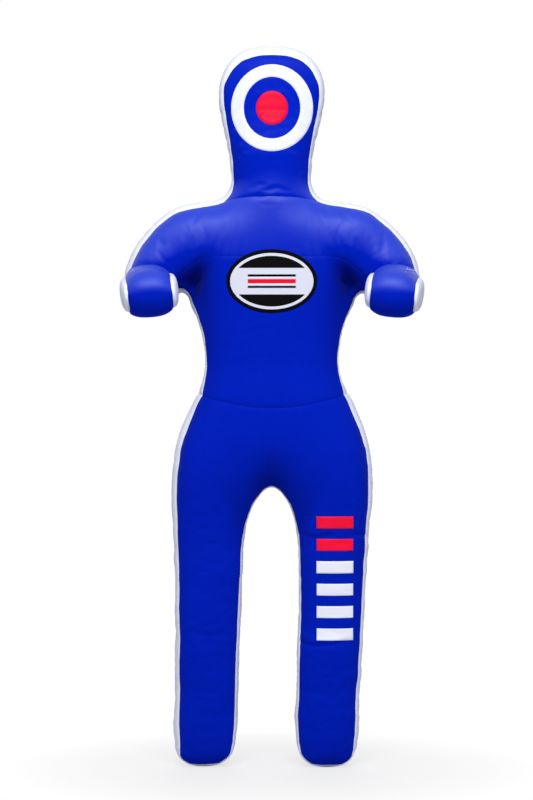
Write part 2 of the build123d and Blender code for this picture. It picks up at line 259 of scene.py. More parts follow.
def eased(z, values):
    """Values at LEVELS, joined by S-curves, so that no ridge shows where they change."""
    k = np.clip(np.searchsorted(LEVELS, z) - 1, 0, len(LEVELS) - 2)
    low, high = np.take(LEVELS, k), np.take(LEVELS, k + 1)
    t = smooth_step((z - low) / (high - low))
    return np.take(values, k) * (1 - t) + np.take(values, k + 1) * t


def swollen(co, height, edge_distance, inward):
    """The place of every slab vertex once the cover is filled."""
    x, y, z = co.T
    upward = np.clip(-inward[:, 1], 0, 1)
    lopsided = -0.0030 * np.tanh(x / 0.05) * smooth_step((1.50 - z) / 0.25)
    inside_leg = smooth_step((0.120 - np.abs(x)) / 0.03) * smooth_step((0.72 - z) / 0.05)
    sag = (eased(z, SAG_AT) + lopsided) * (1 - inside_leg) + 0.0015 * inside_leg
    crown, shoulder = smooth_step((z - 1.5) / 0.15), smooth_step((0.25 - np.abs(x)) / 0.09)
    sag += upward * (0.016 * crown + 0.008 * (1 - crown) * shoulder)
    sole = smooth_step((0.09 - z) / 0.05)
    sag *= 1 - 0.95 * sole * np.clip(inward[:, 1] * 1.6, 0, 1)
    across = np.clip(np.abs(y) / (GUSSET / 2), 0, 1) ** 2
    fade = np.clip(1 - edge_distance / INSET_REACH, 0, 1) ** 2
    shift = (sag * across * fade)[:, None] * inward
    soften = SOFTEN + FACE_SOFTEN * crown
    dome = DOME * (np.sqrt(2 * height + soften ** 2) - soften)
    depth = np.abs(y) * eased(z, GUSSET_AT) + dome * eased(z, DOME_AT)
    lean = eased(z, LEAN_AT)
    settle = SOLE_SETTLE * smooth_step((0.30 - z) / 0.25)
    return np.stack([x + shift[:, 0] + lean, MID_Y + np.sign(y) * depth, z + shift[:, 1] - settle], axis=1)


body_co = swollen(slab_co, height, edge_distance, inward)
print("swollen depth:", body_co[:, 1].min(), "to", body_co[:, 1].max())

# %% [markdown]
# Real canvas does not stay that smooth. Cloth with air pressure inside it is simulated for a moment
# from the swollen shape. The seams are sewn a little shorter than the fabric beside them, which the
# shrink factor gives, so small puckers gather along them. Gravity is off, because packed filling
# holds the dummy up, and no point may travel more than a few millimetres from where it began.

# %% let the cover settle as cloth
CLOTH_FRAMES = 20
CLOTH_TRAVEL = 0.0045
PACKING = 0.30           # how firmly the filling holds each point where it is


def settle_as_cloth(name, mesh, co, seam_weight, pressure):
    """Vertex places after a short pressure simulation, each within CLOTH_TRAVEL of its start."""
    mesh.vertices.foreach_set("co", co.ravel())
    mesh.update()
    cover = bpy.data.objects.new(name, mesh.copy())
    bpy.context.scene.collection.objects.link(cover)
    sewn = cover.vertex_groups.new(name="sewn")
    for i in np.flatnonzero(seam_weight > 0.02):
        sewn.add([int(i)], float(seam_weight[i]), "REPLACE")
    packed = cover.vertex_groups.new(name="packed")
    packed.add(list(range(len(co))), PACKING, "REPLACE")
    cloth = cover.modifiers.new("cloth", "CLOTH")
    fabric = cloth.settings
    fabric.quality = 6
    fabric.mass = 0.3
    fabric.tension_stiffness = fabric.compression_stiffness = 25
    fabric.shear_stiffness = 10
    fabric.bending_stiffness = 2
    fabric.use_pressure = True
    fabric.uniform_pressure_force = pressure
    fabric.vertex_group_shrink = "sewn"
    fabric.shrink_min, fabric.shrink_max = -0.004, 0.06
    fabric.vertex_group_mass = "packed"
    fabric.pin_stiffness = 1.0
    fabric.effector_weights.gravity = 0
    cloth.collision_settings.use_collision = False
    cloth.point_cache.frame_start, cloth.point_cache.frame_end = 1, CLOTH_FRAMES
    scene = bpy.context.scene
    for number in range(1, CLOTH_FRAMES + 1):
        scene.frame_set(number)
    depsgraph = bpy.context.evaluated_depsgraph_get()
    result, _ = mesh_arrays(cover.evaluated_get(depsgraph).data)
    bpy.data.objects.remove(cover)
    scene.frame_set(1)
    travel = result - co
    length = np.linalg.norm(travel, axis=1)[:, None]
    limit = CLOTH_TRAVEL * np.tanh(length / CLOTH_TRAVEL) / np.maximum(length, 1e-9)
    print(name, "settled; largest move", round(float(length.max()), 4), "m before the cap")
    return co + travel * limit


seam_offset = np.maximum(GUSSET / 2 - np.abs(slab_co[:, 1]), 0) - edge_distance
seam_weight = np.exp(-(seam_offset / 0.008) ** 2)
body_co = settle_as_cloth("body_cover", slab, body_co, seam_weight, pressure=4)
print("settled depth:", body_co[:, 1].min(), "to", body_co[:, 1].max())

# %% [markdown]
# The mesh is subdivided once. Each vertex remembers where it was on the flat slab, because the
# seams are simplest there: the gusset's seams are the slab's edges, and the waist, yoke, neck and
# armhole seams are lines drawn on its face. To cut along such a line, the mesh is laid out with its
# distance from the line as its x, sliced with a plane at x = 0, and put back: the new vertices get
# their place from their neighbours, so the line is smooth whatever the grid under it.

# %% subdivide, and cut along lines


def store(mesh, name, values):
    """Keeps a vector per vertex on the mesh as an attribute."""
    layer = mesh.attributes.get(name) or mesh.attributes.new(name, "FLOAT_VECTOR", "POINT")
    layer.data.foreach_set("vector", np.ascontiguousarray(values, dtype=np.float32).ravel())


def read(mesh, name):
    values = np.empty(len(mesh.vertices) * 3, dtype=np.float32)
    mesh.attributes[name].data.foreach_get("vector", values)
    return values.reshape(-1, 3).astype(float)


def subdivided(name, mesh):
    """The mesh with one level of Catmull-Clark subdivision applied."""
    rough = bpy.data.objects.new(name, mesh)
    bpy.context.scene.collection.objects.link(rough)
    surface = rough.modifiers.new("smooth", "SUBSURF")
    surface.levels = surface.render_levels = 1
    bpy.context.view_layer.update()
    fine = bpy.data.meshes.new_from_object(rough.evaluated_get(bpy.context.evaluated_depsgraph_get()))
    bpy.data.objects.remove(rough)
    return fine


def cut_where_zero(mesh, field, within=None):
    """Adds an edge wherever a field over the vertices passes zero, on the faces within a mask."""
    home, _ = mesh_arrays(mesh)
    store(mesh, "home", home)
    laid_out = home.copy()
    laid_out[:, 0] = field
    mesh.vertices.foreach_set("co", laid_out.ravel())
    bm = bmesh.new()
    bm.from_mesh(mesh)
    faces = bm.faces[:]
    if within is not None:
        bm.verts.ensure_lookup_table()
        faces = [f for f in faces if all(within[v.index] for v in f.verts)]
    edges = {e for f in faces for e in f.edges}
    corners = {v for f in faces for v in f.verts}
    bmesh.ops.bisect_plane(
        bm, geom=[*corners, *edges, *faces], dist=2e-4, plane_co=(0, 0, 0), plane_no=(1, 0, 0)
    )
    bm.to_mesh(mesh)
    bm.free()
    mesh.vertices.foreach_set("co", read(mesh, "home").ravel())


slab.vertices.foreach_set("co", body_co.ravel())
store(slab, "flat", slab_co)
store(slab, "edge", np.stack([edge_distance, inward[:, 0], inward[:, 1]], axis=1))
body = subdivided("body", slab)
print("fine mesh:", len(body.vertices), "vertices")

# %% [markdown]
# Where the seams run, drawn on the flat pattern. Some are real seams. The rest are only places
# where the cover is divided into pieces that stand for different parts of the model: across the
# groin and at mid-thigh the cloth runs on without a seam.

# %% the seam lines
NECK_SEAM_Z = 1.403
YOKE_SEAM_Z = 1.258
WAIST_SEAM_Z = 0.890
ARMHOLE_X = SHOULDER_X
ARMPIT_X, ARMPIT_LOW, ARMPIT_HIGH = 0.2275, 1.172, 1.204
CROTCH_Z, GROIN_SLOPE = 0.687, 0.336
THIGH_SPLIT_Z = 0.48


def gusset_line(flat, edge):
    """Positive on the gusset, negative on the panels."""
    return GUSSET / 2 - np.abs(flat[:, 1]) - edge[:, 0]


def neck_line(flat):
    return flat[:, 2] - NECK_SEAM_Z


def waist_line(flat):
    """The waist seam droops in the middle."""
    return flat[:, 2] - WAIST_SEAM_Z - 0.031 * np.minimum(flat[:, 0] / 0.174, 1.3) ** 2


def armhole_line(flat):
    """Positive on the sleeves. The seam drops from the shoulder, then turns out to the armpit."""
    turn = smooth_step((ARMPIT_HIGH - flat[:, 2]) / (ARMPIT_HIGH - ARMPIT_LOW))
    return np.abs(flat[:, 0]) - ARMHOLE_X - (ARMPIT_X - ARMHOLE_X) * turn


def armhole_seam(flat):
    """The stitches that show. They run straight up the chest, then flare out over the shoulder."""
    return np.abs(flat[:, 0]) - 0.158 - 6.0 * np.maximum(flat[:, 2] - 1.29, 0) ** 2


def yoke_line(flat):
    """Level across the chest, then drooping over the inside of each sleeve to the forearm."""
    out = np.clip((np.abs(flat[:, 0]) - 0.150) / 0.080, 0, 1.5)
    return flat[:, 2] - YOKE_SEAM_Z + 0.054 * out ** 2


def groin_line(flat):
    return flat[:, 2] - CROTCH_Z - GROIN_SLOPE * np.abs(flat[:, 0])


def thigh_line(flat):
    return flat[:, 2] - THIGH_SPLIT_Z


def flat_and_edge(mesh):
    return read(mesh, "flat"), read(mesh, "edge")


for line in (neck_line, waist_line, armhole_line, yoke_line, groin_line, thigh_line, gusset_line):
    flat, edge = flat_and_edge(body)
    x, y, z = np.abs(flat[:, 0]), flat[:, 1], flat[:, 2]
    if line is gusset_line:
        cut_where_zero(body, gusset_line(flat, edge))
    elif line is armhole_line:
        cut_where_zero(body, armhole_line(flat), within=(z > 1.09) & (x > 0.12))
    elif line is yoke_line:
        cut_where_zero(body, yoke_line(flat), within=(y < 0) & (z > 1.17) & (z < 1.30) & (x < 0.245))
    elif line is groin_line:
        cut_where_zero(body, groin_line(flat), within=(z > 0.60) & (z < 0.85))
    else:
        cut_where_zero(body, line(flat))
print("with seam edges:", len(body.vertices), "vertices")

# %% [markdown]
# A sewn seam pulls the cover in: the two panels meet at the bottom of a narrow valley with rounded
# shoulders. Each vertex is pressed in by an amount that dies away with its distance from the seam
# line, and a little noise along the seam makes the puckers uneven. Broader hollows go where a
# stuffed figure folds: inside the armpits, over the crotch and across one knee.

# %% press the seams in
random_lattice = np.random.default_rng(7).uniform(-1, 1, (64, 64, 64))


def wander(places, size):
    """Smooth noise between -1 and 1 with lumps about `size` across; size may differ by axis."""
    spot = places / np.asarray(size)
    cell = np.floor(spot).astype(int)
    t = spot - cell
    t = t * t * (3 - 2 * t)
    value = np.zeros(len(places))
    for corner in range(8):
        step = np.array([corner & 1, corner >> 1 & 1, corner >> 2 & 1])
        share = np.prod(np.where(step, t, 1 - t), axis=1)
        i, j, k = ((cell + step) % 64).T
        value += share * random_lattice[i, j, k]
    return value


def valley(distance, depth, width):
    return depth * np.exp(-np.abs(distance) / width)


def hollow(x, z, middle, radii, lean, depth):
    """A soft oval dent centred in x and z, with its long axis leaning by an angle in degrees."""
    c, s = math.cos(math.radians(lean)), math.sin(math.radians(lean))
    dx, dz = x - middle[0], z - middle[1]
    across, along = (c * dx - s * dz) / radii[0], (s * dx + c * dz) / radii[1]
    return depth * np.exp(-across ** 2 - along ** 2)


def crease(x, z, points, depth, width):
    """A fold along a line of points: a narrow dip with a low ridge on the upper side."""
    nearest, side, share = np.full(len(x), 9.0), np.zeros(len(x)), np.zeros(len(x))
    for i, (a, b) in enumerate(zip(points, points[1:])):
        ax, az, bx, bz = *a, *b
        length = math.hypot(bx - ax, bz - az)
        t = np.clip(((x - ax) * (bx - ax) + (z - az) * (bz - az)) / length ** 2, 0, 1)
        distance = np.hypot(x - ax - t * (bx - ax), z - az - t * (bz - az))
        above = (bx - ax) * (z - az) - (bz - az) * (x - ax)
        closer = distance < nearest
        nearest = np.where(closer, distance, nearest)
        side = np.where(closer, np.sign(above), side)
        share = np.where(closer, (i + t) / (len(points) - 1), share)
    taper = np.sin(np.pi * np.clip(share, 0.02, 0.98)) ** 0.6
    ridge = np.exp(-((side * nearest - 1.8 * width) / (1.5 * width)) ** 2)
    return depth * taper * (np.exp(-(nearest / width) ** 2) - 0.45 * ridge)


def seam_dip(flat, edge):
    """How far the stitching pulls each vertex in."""
    x, y, z = np.abs(flat[:, 0]), flat[:, 1], flat[:, 2]
    front = smooth_step(-y / 0.02)
    chest = smooth_step((z - 1.09) / 0.02)
    uneven = 1 + 0.35 * wander(flat, 0.022)
    dip = valley(gusset_line(flat, edge), 0.0022, 0.0050) * uneven
    dip += valley(neck_line(flat), 0.0028, 0.0060) * uneven
    dip += valley(waist_line(flat), 0.0030, 0.0075) * uneven
    dip += valley(armhole_seam(flat), 0.0008, 0.0050) * chest * smooth_step((z - 1.19) / 0.04) * uneven
    on_yoke = front * smooth_step((0.243 - x) / 0.012)
    fading_in = 0.2 + 0.8 * smooth_step((x - 0.12) / 0.04)
    dip += valley(yoke_line(flat), 0.0014, 0.0045) * on_yoke * uneven * fading_in
    return dip


def fold_dip(flat, edge):
    """Broad hollows and creases of the filled cover."""
    x, y, z = flat.T
    front = smooth_step(-y / 0.03)
    side = np.abs(x)
    dip = hollow(side, z, (0.158, 1.290), (0.020, 0.070), 0, 0.0012)
    dip += hollow(side, z, (0.000, 0.715), (0.045, 0.050), 0, 0.008)
    dip += hollow(side, z, (0.000, 0.745), (0.012, 0.045), 0, 0.004)
    dip += hollow(side, z, (0.110, 0.655), (0.014, 0.075), 25, 0.003) * front
    knee_fold = [(0.066, 0.313), (0.105, 0.303), (0.150, 0.306), (0.205, 0.318)]
    dip += crease(x, z, knee_fold, 0.0042, 0.006) * front
    dip += crease(x, z, [(0.066, 0.579), (0.110, 0.570), (0.165, 0.576)], 0.0026, 0.007) * front
    dip += crease(x, z, [(0.185, 0.574), (0.215, 0.579), (0.245, 0.571)], 0.0024, 0.006) * front
    dip += crease(x, z, [(-0.205, 0.338), (-0.150, 0.329), (-0.085, 0.334)], 0.0020, 0.008) * front
    legs = smooth_step((0.66 - z) / 0.1)
    dip += legs * 0.0015 * wander(flat, (0.110, 0.080, 0.032))
    dip += 0.0012 * wander(flat, 0.070)
    near_seam = np.exp(-np.abs(gusset_line(flat, edge)) / 0.022)
    dip += near_seam * 0.0006 * wander(flat, (0.028, 0.045, 0.028))
    return dip


def front_shift(flat, edge):
    """The front sinks back inside the armpits, and comes forward where the forearms leave it."""
    x, y, z = flat.T
    inside = (0.4 + 0.6 * smooth_step(-gusset_line(flat, edge) / 0.025)) * smooth_step(-y / 0.05)
    deep = hollow(np.abs(x), z, (0.189, 1.198), (0.022, 0.050), -34, 0.035)
    sunken = inside * (deep + hollow(np.abs(x), z, (0.204, 1.152), (0.040, 0.070), -15, 0.019))
    raised = hollow(np.abs(x), z, (0.305, 1.235), (0.060, 0.045), 0, 0.012) * smooth_step(-y / 0.05)
    return sunken - raised * smooth_step((np.abs(x) - 0.20) / 0.05)


def sheltered(flat):
    """How much the cloth's colour is darkened in the armpits, the waist and the crotch, from 0 to 1.

    It is painted shade, on the front only, for folds deeper than the mesh has.
    """
    x, y, z = np.abs(flat[:, 0]), flat[:, 1], flat[:, 2]
    depth = hollow(x, z, (0.193, 1.188), (0.024, 0.052), -28, 0.9)
    depth += hollow(x, z, (0.178, 1.180), (0.050, 0.075), -15, 0.35)
    depth += hollow(x, z, (0.160, 1.060), (0.035, 0.130), 0, 0.16)
    depth += hollow(x, z, (0.000, 0.710), (0.055, 0.060), 0, 0.22)
    depth += hollow(x, z, (0.080, 0.630), (0.022, 0.080), 10, 0.22)
    return np.clip(depth, 0, 1) * (y < 0)


def shine(flat):
    """Painted highlight: how far cloth facing up turns paler and glossier, most on the shoulders, least on
    the face.
    """
    x, y, z = np.abs(flat[:, 0]), flat[:, 1], flat[:, 2]
    level = 0.10 + 0.90 * smooth_step((z - 1.02) / 0.18)
    below_yoke = smooth_step(-yoke_line(flat) / 0.012) * (y < 0) * smooth_step((0.250 - x) / 0.03)
    level *= (1 - 0.85 * smooth_step((z - 1.44) / 0.12)) * (1 - 0.75 * below_yoke)
    return level * np.clip(1 - 1.4 * sheltered(flat), 0, 1)


body.update()
flat, edge = flat_and_edge(body)
body_places, _ = mesh_arrays(body)
body_normals = np.empty(len(body.vertices) * 3)
body.vertices.foreach_get("normal", body_normals)
dip = seam_dip(flat, edge) + fold_dip(flat, edge)
body_places -= body_normals.reshape(-1, 3) * dip[:, None]
body_places[:, 1] += front_shift(flat, edge)
zipper_low, zipper_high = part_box("zipper_tape")
BACK_Y = zipper_high.y - 0.0015
reach_z = smooth_step((flat[:, 2] - zipper_low.z + 0.05) / 0.045)
reach_z *= smooth_step((zipper_high.z + 0.05 - flat[:, 2]) / 0.045)
beside = smooth_step((0.062 - np.abs(flat[:, 0])) / 0.042) * reach_z * (flat[:, 1] > 0.04)
body_places[:, 1] += (BACK_Y - body_places[:, 1]) * beside
body.vertices.foreach_set("co", body_places.ravel())
body.update()
print("pressed in by at most", round(float(dip.max()) * 1000, 1), "mm")

# %% [markdown]
# The cover is now one skin with an edge along every seam. Sharp edges along the real seams keep
# the two sides' shading apart, while the normals are copied whole over the places where the cloth
# only changes body, so nothing shows there at rest. Then the faces are told apart by where their
# middle lies on the flat pattern, and separated in one go.

# %% separate the panels
PANELS = ["front", "back", "gusset"]
LIMBS = ["left", "right"]


def face_means(mesh, values):
    """The mean over each face's corners of a value per vertex."""
    corner_vertex = np.empty(len(mesh.loops), dtype=np.int64)
    mesh.loops.foreach_get("vertex_index", corner_vertex)
    start = np.empty(len(mesh.polygons), dtype=np.int64)
    count = np.empty(len(mesh.polygons), dtype=np.int64)
    mesh.polygons.foreach_get("loop_start", start)
    mesh.polygons.foreach_get("loop_total", count)
    return np.add.reduceat(values[corner_vertex], start, axis=0) / count[:, None]


def piece_of_face(flat, edge):
    """The name of the piece that each face belongs to."""
    x, y, z = flat.T
    side = np.where(x > 0, "left_", "right_")
    part = np.where(neck_line(flat) > 0, "head_", "torso_")
    part = np.where((armhole_line(flat) > 0) & (z > 1.09), np.char.add(side, "sleeve_"), part)
    part = np.where(waist_line(flat) < 0, "hips_", part)
    part = np.where(groin_line(flat) < 0, np.char.add(side, "leg_top_"), part)
    part = np.where(thigh_line(flat) < 0, np.char.add(side, "leg_end_"), part)
    panel = np.where(gusset_line(flat, edge) > 0, "gusset", np.where(y < 0, "front", "back"))
    name = np.char.add(part, panel)
    return np.where((name == "torso_front") & (yoke_line(flat) > 0), "torso_yoke", name)


flat, edge = flat_and_edge(body)
middles = face_means(body, np.concatenate([flat, edge], axis=1))
face_piece = piece_of_face(middles[:, :3], middles[:, 3:])
piece_names = sorted(set(face_piece))
piece_index = np.searchsorted(piece_names, face_piece)
print(len(piece_names), "pieces:", ", ".join(piece_names))


def seam_edges(mesh, flat, edge):
    """Edges that lie along a real seam."""
    _, ends = mesh_arrays(mesh)
    x, y = np.abs(flat[:, 0]), flat[:, 1]
    near = 6e-4
    lines = [
        np.abs(gusset_line(flat, edge)) < near,
        np.abs(neck_line(flat)) < near,
        np.abs(waist_line(flat)) < near,
        (np.abs(yoke_line(flat)) < near) & (y < 0) & (x < 0.243),
    ]
    on_seam = np.zeros(len(ends), dtype=bool)
    for line in lines:
        on_seam |= line[ends[:, 0]] & line[ends[:, 1]]
    return on_seam


body.polygons.foreach_set("use_smooth", np.ones(len(body.polygons), dtype=bool))
sharp = body.attributes.get("sharp_edge") or body.attributes.new("sharp_edge", "BOOLEAN", "EDGE")
sharp.data.foreach_set("value", seam_edges(body, flat, edge))
body.update()


def keep_shading(mesh, **fields):
    """Stores the whole skin's shading, and numbers per vertex that the finishes read."""
    corner_normals = np.empty(len(mesh.loops) * 3, dtype=np.float32)
    mesh.corner_normals.foreach_get("vector", corner_normals)
    kept = mesh.attributes.new("cloth_normal", "FLOAT_VECTOR", "CORNER")
    kept.data.foreach_set("vector", corner_normals)
    for name, values in fields.items():
        layer = mesh.attributes.new(name, "FLOAT", "POINT")
        layer.data.foreach_set("value", values.astype(np.float32))


distance = np.minimum.reduce([
    np.abs(gusset_line(flat, edge)), np.abs(neck_line(flat)), np.abs(waist_line(flat)),
    np.where((flat[:, 1] < 0) & (np.abs(flat[:, 0]) < 0.243), np.abs(yoke_line(flat)), 1.0),
])
# shine holds the painted highlight of cloth that faces up, and sheltered the painted shade
keep_shading(body, seam_distance=distance, shine=shine(flat), sheltered=sheltered(flat))


def separated(mesh, index, names):
    """The mesh taken apart into one object for each name, by a number on every face."""
    whole = bpy.data.objects.new("whole", mesh)
    bpy.context.scene.collection.objects.link(whole)
    for name in names:
        mesh.materials.append(bpy.data.materials.new("cut_" + name))
    mesh.polygons.foreach_set("material_index", index.astype(np.int32))
    before = set(bpy.data.objects) - {whole}
    bpy.ops.object.select_all(action="DESELECT")
    whole.select_set(True)
    bpy.context.view_layer.objects.active = whole
    bpy.ops.mesh.separate(type="MATERIAL")
    pieces = {}
    for piece in set(bpy.data.objects) - before:
        name = piece.data.materials[piece.data.polygons[0].material_index].name.removeprefix("cut_")
        piece.name = piece.data.name = name
        piece.data.materials.clear()
        normals = np.empty(len(piece.data.loops) * 3, dtype=np.float32)
        piece.data.attributes["cloth_normal"].data.foreach_get("vector", normals)
        piece.data.normals_split_custom_set(normals.reshape(-1, 3))
        piece.data.attributes.remove(piece.data.attributes["cloth_normal"])
        pieces[name] = piece
    return pieces


# %% [markdown]
# Where a sleeve leaves the trunk, both are closed inside by a lining, so that no hole opens in the
# armpit when the arm swings. The lining is the closed loop of seam edges, filled and triangulated.

# %% armhole linings
def armhole_lining(side, name):
    """A cover over the armhole of one side (+1 or -1), made from the seam loop of the whole skin."""
    bm = bmesh.new()
    bm.from_mesh(body)
    bm.verts.ensure_lookup_table()
    on_line = (np.abs(armhole_line(flat)) < 6e-4) & (flat[:, 2] > 1.09) & (flat[:, 0] * side > 0)
    off = [v for v in bm.verts if not on_line[v.index]]
    bmesh.ops.delete(bm, geom=off, context="VERTS")
    bmesh.ops.delete(bm, geom=bm.faces[:], context="FACES_ONLY")
    bmesh.ops.edgenet_fill(bm, edges=bm.edges[:])
    bmesh.ops.triangulate(bm, faces=bm.faces[:])
    mesh = bpy.data.meshes.new(name)
    bm.to_mesh(mesh)
    bm.free()
    lining = bpy.data.objects.new(name, mesh)
    bpy.context.scene.collection.objects.link(lining)
    return lining


linings = {}
for limb, side in zip(LIMBS, (1, -1)):
    linings[limb] = [armhole_lining(side, f"{limb}_{name}") for name in ("armhole_lining", "sleeve_lining")]
print("lining faces:", len(linings["left"][0].data.polygons))

# %% take the cover apart
skin = bmesh.new()
skin.from_mesh(body)
skin_tree = BVHTree.FromBMesh(skin)
skin.free()
cover = separated(body, piece_index, piece_names)
print(len(cover), "objects")

# %% [markdown]
# A forearm is a second boxed cushion lying on its side. Its strip is the blue band that runs over
# the top, round the blunt end and back underneath, and its two panels are the white sides. The same
# steps make it: outline, slab, drum height, cloth. Only the end behind the elbow differs: it is
# left flat-sided and round, so that it turns inside the end of the sleeve.

# %% forearms
FOREARM_OUTLINE = [
    (0.240, -0.012), (0.235, 0.012), (0.218, 0.034), (0.185, 0.046), (0.110, 0.056),
    (0.000, 0.060), (-0.043, 0.043), (-0.061, 0.000), (-0.043, -0.043), (0.000, -0.061),
    (0.080, -0.067), (0.165, -0.071), (0.212, -0.062), (0.235, -0.036),
]
BAND = 0.116
FOREARM_VOXEL = 0.005
SIDE_DOME = 0.88
SIDE_SOFTEN = 0.080
BAND_SAG = 0.0145
ROLL = math.radians(6)       # outer side down
TOE_IN = math.radians(4)     # both forearms point slightly inwards


def forearm_places(co, height, distance, inward):
    """Swollen places of the forearm slab: x forward, y across, z up, from the elbow."""
    forward, across, up = co.T
    share = np.clip(np.abs(across) / (BAND / 2), 0, 1) ** 2.6
    fade = np.clip(1 - distance / 0.055, 0, 1) ** 2
    sag = BAND_SAG + 0.0105 * np.clip(-inward[:, 1], 0, 1)
    shift = (sag * share * fade)[:, None] * inward
    clear = smooth_step((forward - 0.010) / 0.090)
    dome = SIDE_DOME * (np.sqrt(2 * height + SIDE_SOFTEN ** 2) - SIDE_SOFTEN) * clear
    out = np.sign(across) * (np.abs(across) * (0.93 + 0.07 * clear) + dome)
    return np.stack([forward + shift[:, 0], out, up + shift[:, 1]], axis=1)


def forearm_cushion():
    """The forearm in its own frame, with its flat pattern and seam distances kept on it."""
    mesh, rim = slab_mesh(FOREARM_OUTLINE, BAND, FOREARM_VOXEL)
    co, ends = mesh_arrays(mesh)
    distance, inward, _ = rim_distance(co[:, [0, 2]], rim)
    places = forearm_places(co, drum_height(co, ends, REACH), distance, inward)
    offset = np.maximum(BAND / 2 - np.abs(co[:, 1]), 0) - distance
    places = settle_as_cloth("forearm", mesh, places, np.exp(-(offset / 0.006) ** 2), pressure=4)
    mesh.vertices.foreach_set("co", places.ravel())
    store(mesh, "flat", co)
    store(mesh, "edge", np.stack([distance, inward[:, 0], inward[:, 1]], axis=1))
    return subdivided("forearm", mesh)


def forearm_seam(flat, edge):
    """Positive on the band, negative on the sides."""
    return BAND / 2 - np.abs(flat[:, 1]) - edge[:, 0]


def forearm_pieces(limb, side):
    """The band and the two sides of one forearm, in place."""
    mesh = forearm_base.copy()
    cut_where_zero(mesh, forearm_seam(*flat_and_edge(mesh)))
    mesh.update()
    flat, edge = flat_and_edge(mesh)
    places, _ = mesh_arrays(mesh)
    normals = np.empty(len(places) * 3)
    mesh.vertices.foreach_get("normal", normals)
    seam = forearm_seam(flat, edge)
    noise_at = flat + (0.0, 3.0 * side, 0.0)
    dip = valley(seam, 0.0026, 0.0045) * (1 + 0.35 * wander(noise_at, 0.018))
    dip += np.exp(-np.abs(seam) / 0.018) * 0.0010 * wander(noise_at, (0.020, 0.040, 0.020))
    dip += 0.0010 * wander(noise_at, 0.055)
    places -= normals.reshape(-1, 3) * dip[:, None]
    forward, across, up = places.T
    c, s = math.cos(side * ROLL), math.sin(side * ROLL)
    rolled, raised = c * across + s * up, c * up - s * across
    c, s = math.cos(TOE_IN), side * math.sin(TOE_IN)
    set_in_frame = np.stack(
        [
            side * (ELBOW_X + 0.004) + c * rolled - s * forward,
            MID_Y - c * forward - s * rolled,
            ELBOW_Z + raised,
        ],
        axis=1,
    )
    mesh.vertices.foreach_set("co", set_in_frame.ravel())
    index = (face_means(mesh, seam[:, None])[:, 0] > 0).astype(int)
    _, ends = mesh_arrays(mesh)
    near = np.abs(seam) < 6e-4
    layer = mesh.attributes.get("sharp_edge") or mesh.attributes.new("sharp_edge", "BOOLEAN", "EDGE")
    layer.data.foreach_set("value", near[ends[:, 0]] & near[ends[:, 1]])
    mesh.polygons.foreach_set("use_smooth", np.ones(len(mesh.polygons), dtype=bool))
    mesh.update()
    # the forearms carry the painted highlight at full strength
    keep_shading(mesh, seam_distance=np.abs(seam), shine=np.ones(len(seam)))
    return separated(mesh, index, [f"{limb}_hand_sides", f"{limb}_hand_band"])


forearm_base = forearm_cushion()
for limb, side in zip(LIMBS, (1, -1)):
    cover.update(forearm_pieces(limb, side))
print("forearms:", [name for name in cover if "hand" in name])

# %% [markdown]
# Every finish is made of nodes, and the maths between them is written as plain expressions: this
# small class wraps a socket, so that `1 - mask * 0.5` adds the Math nodes it needs.

# %% shader shorthand
class Wire:
    """An output socket whose operators add Math nodes."""

    def __init__(self, nodes, socket):
        self.nodes, self.socket = nodes, socket

    def maths(self, operation, *values):
        return self.nodes.node("ShaderNodeMath", {"operation": operation}, dict(enumerate(values)))[0]

    def __add__(self, other):
        return self.maths("ADD", self, other)

    def __sub__(self, other):
        return self.maths("SUBTRACT", self, other)

    def __mul__(self, other):
        return self.maths("MULTIPLY", self, other)

    def __rsub__(self, other):
        return self.maths("SUBTRACT", other, self)

    def __truediv__(self, other):
        return self.maths("DIVIDE", self, other)

    __radd__, __rmul__ = __add__, __mul__

    def sine(self):
        return self.maths("SINE", self)

    def absolute(self):
        return self.maths("ABSOLUTE", self)

    def angle_over(self, other):
        return self.maths("ARCTAN2", self, other)

    def over(self, edge, width):
        """0 where the value is below an edge, 1 above it, with a soft step of that width."""
        return ((self - edge) * (1 / width) + 0.5).limited()

    def limited(self):
        return self.maths("MINIMUM", self.maths("MAXIMUM", self, 0.0), 1.0)


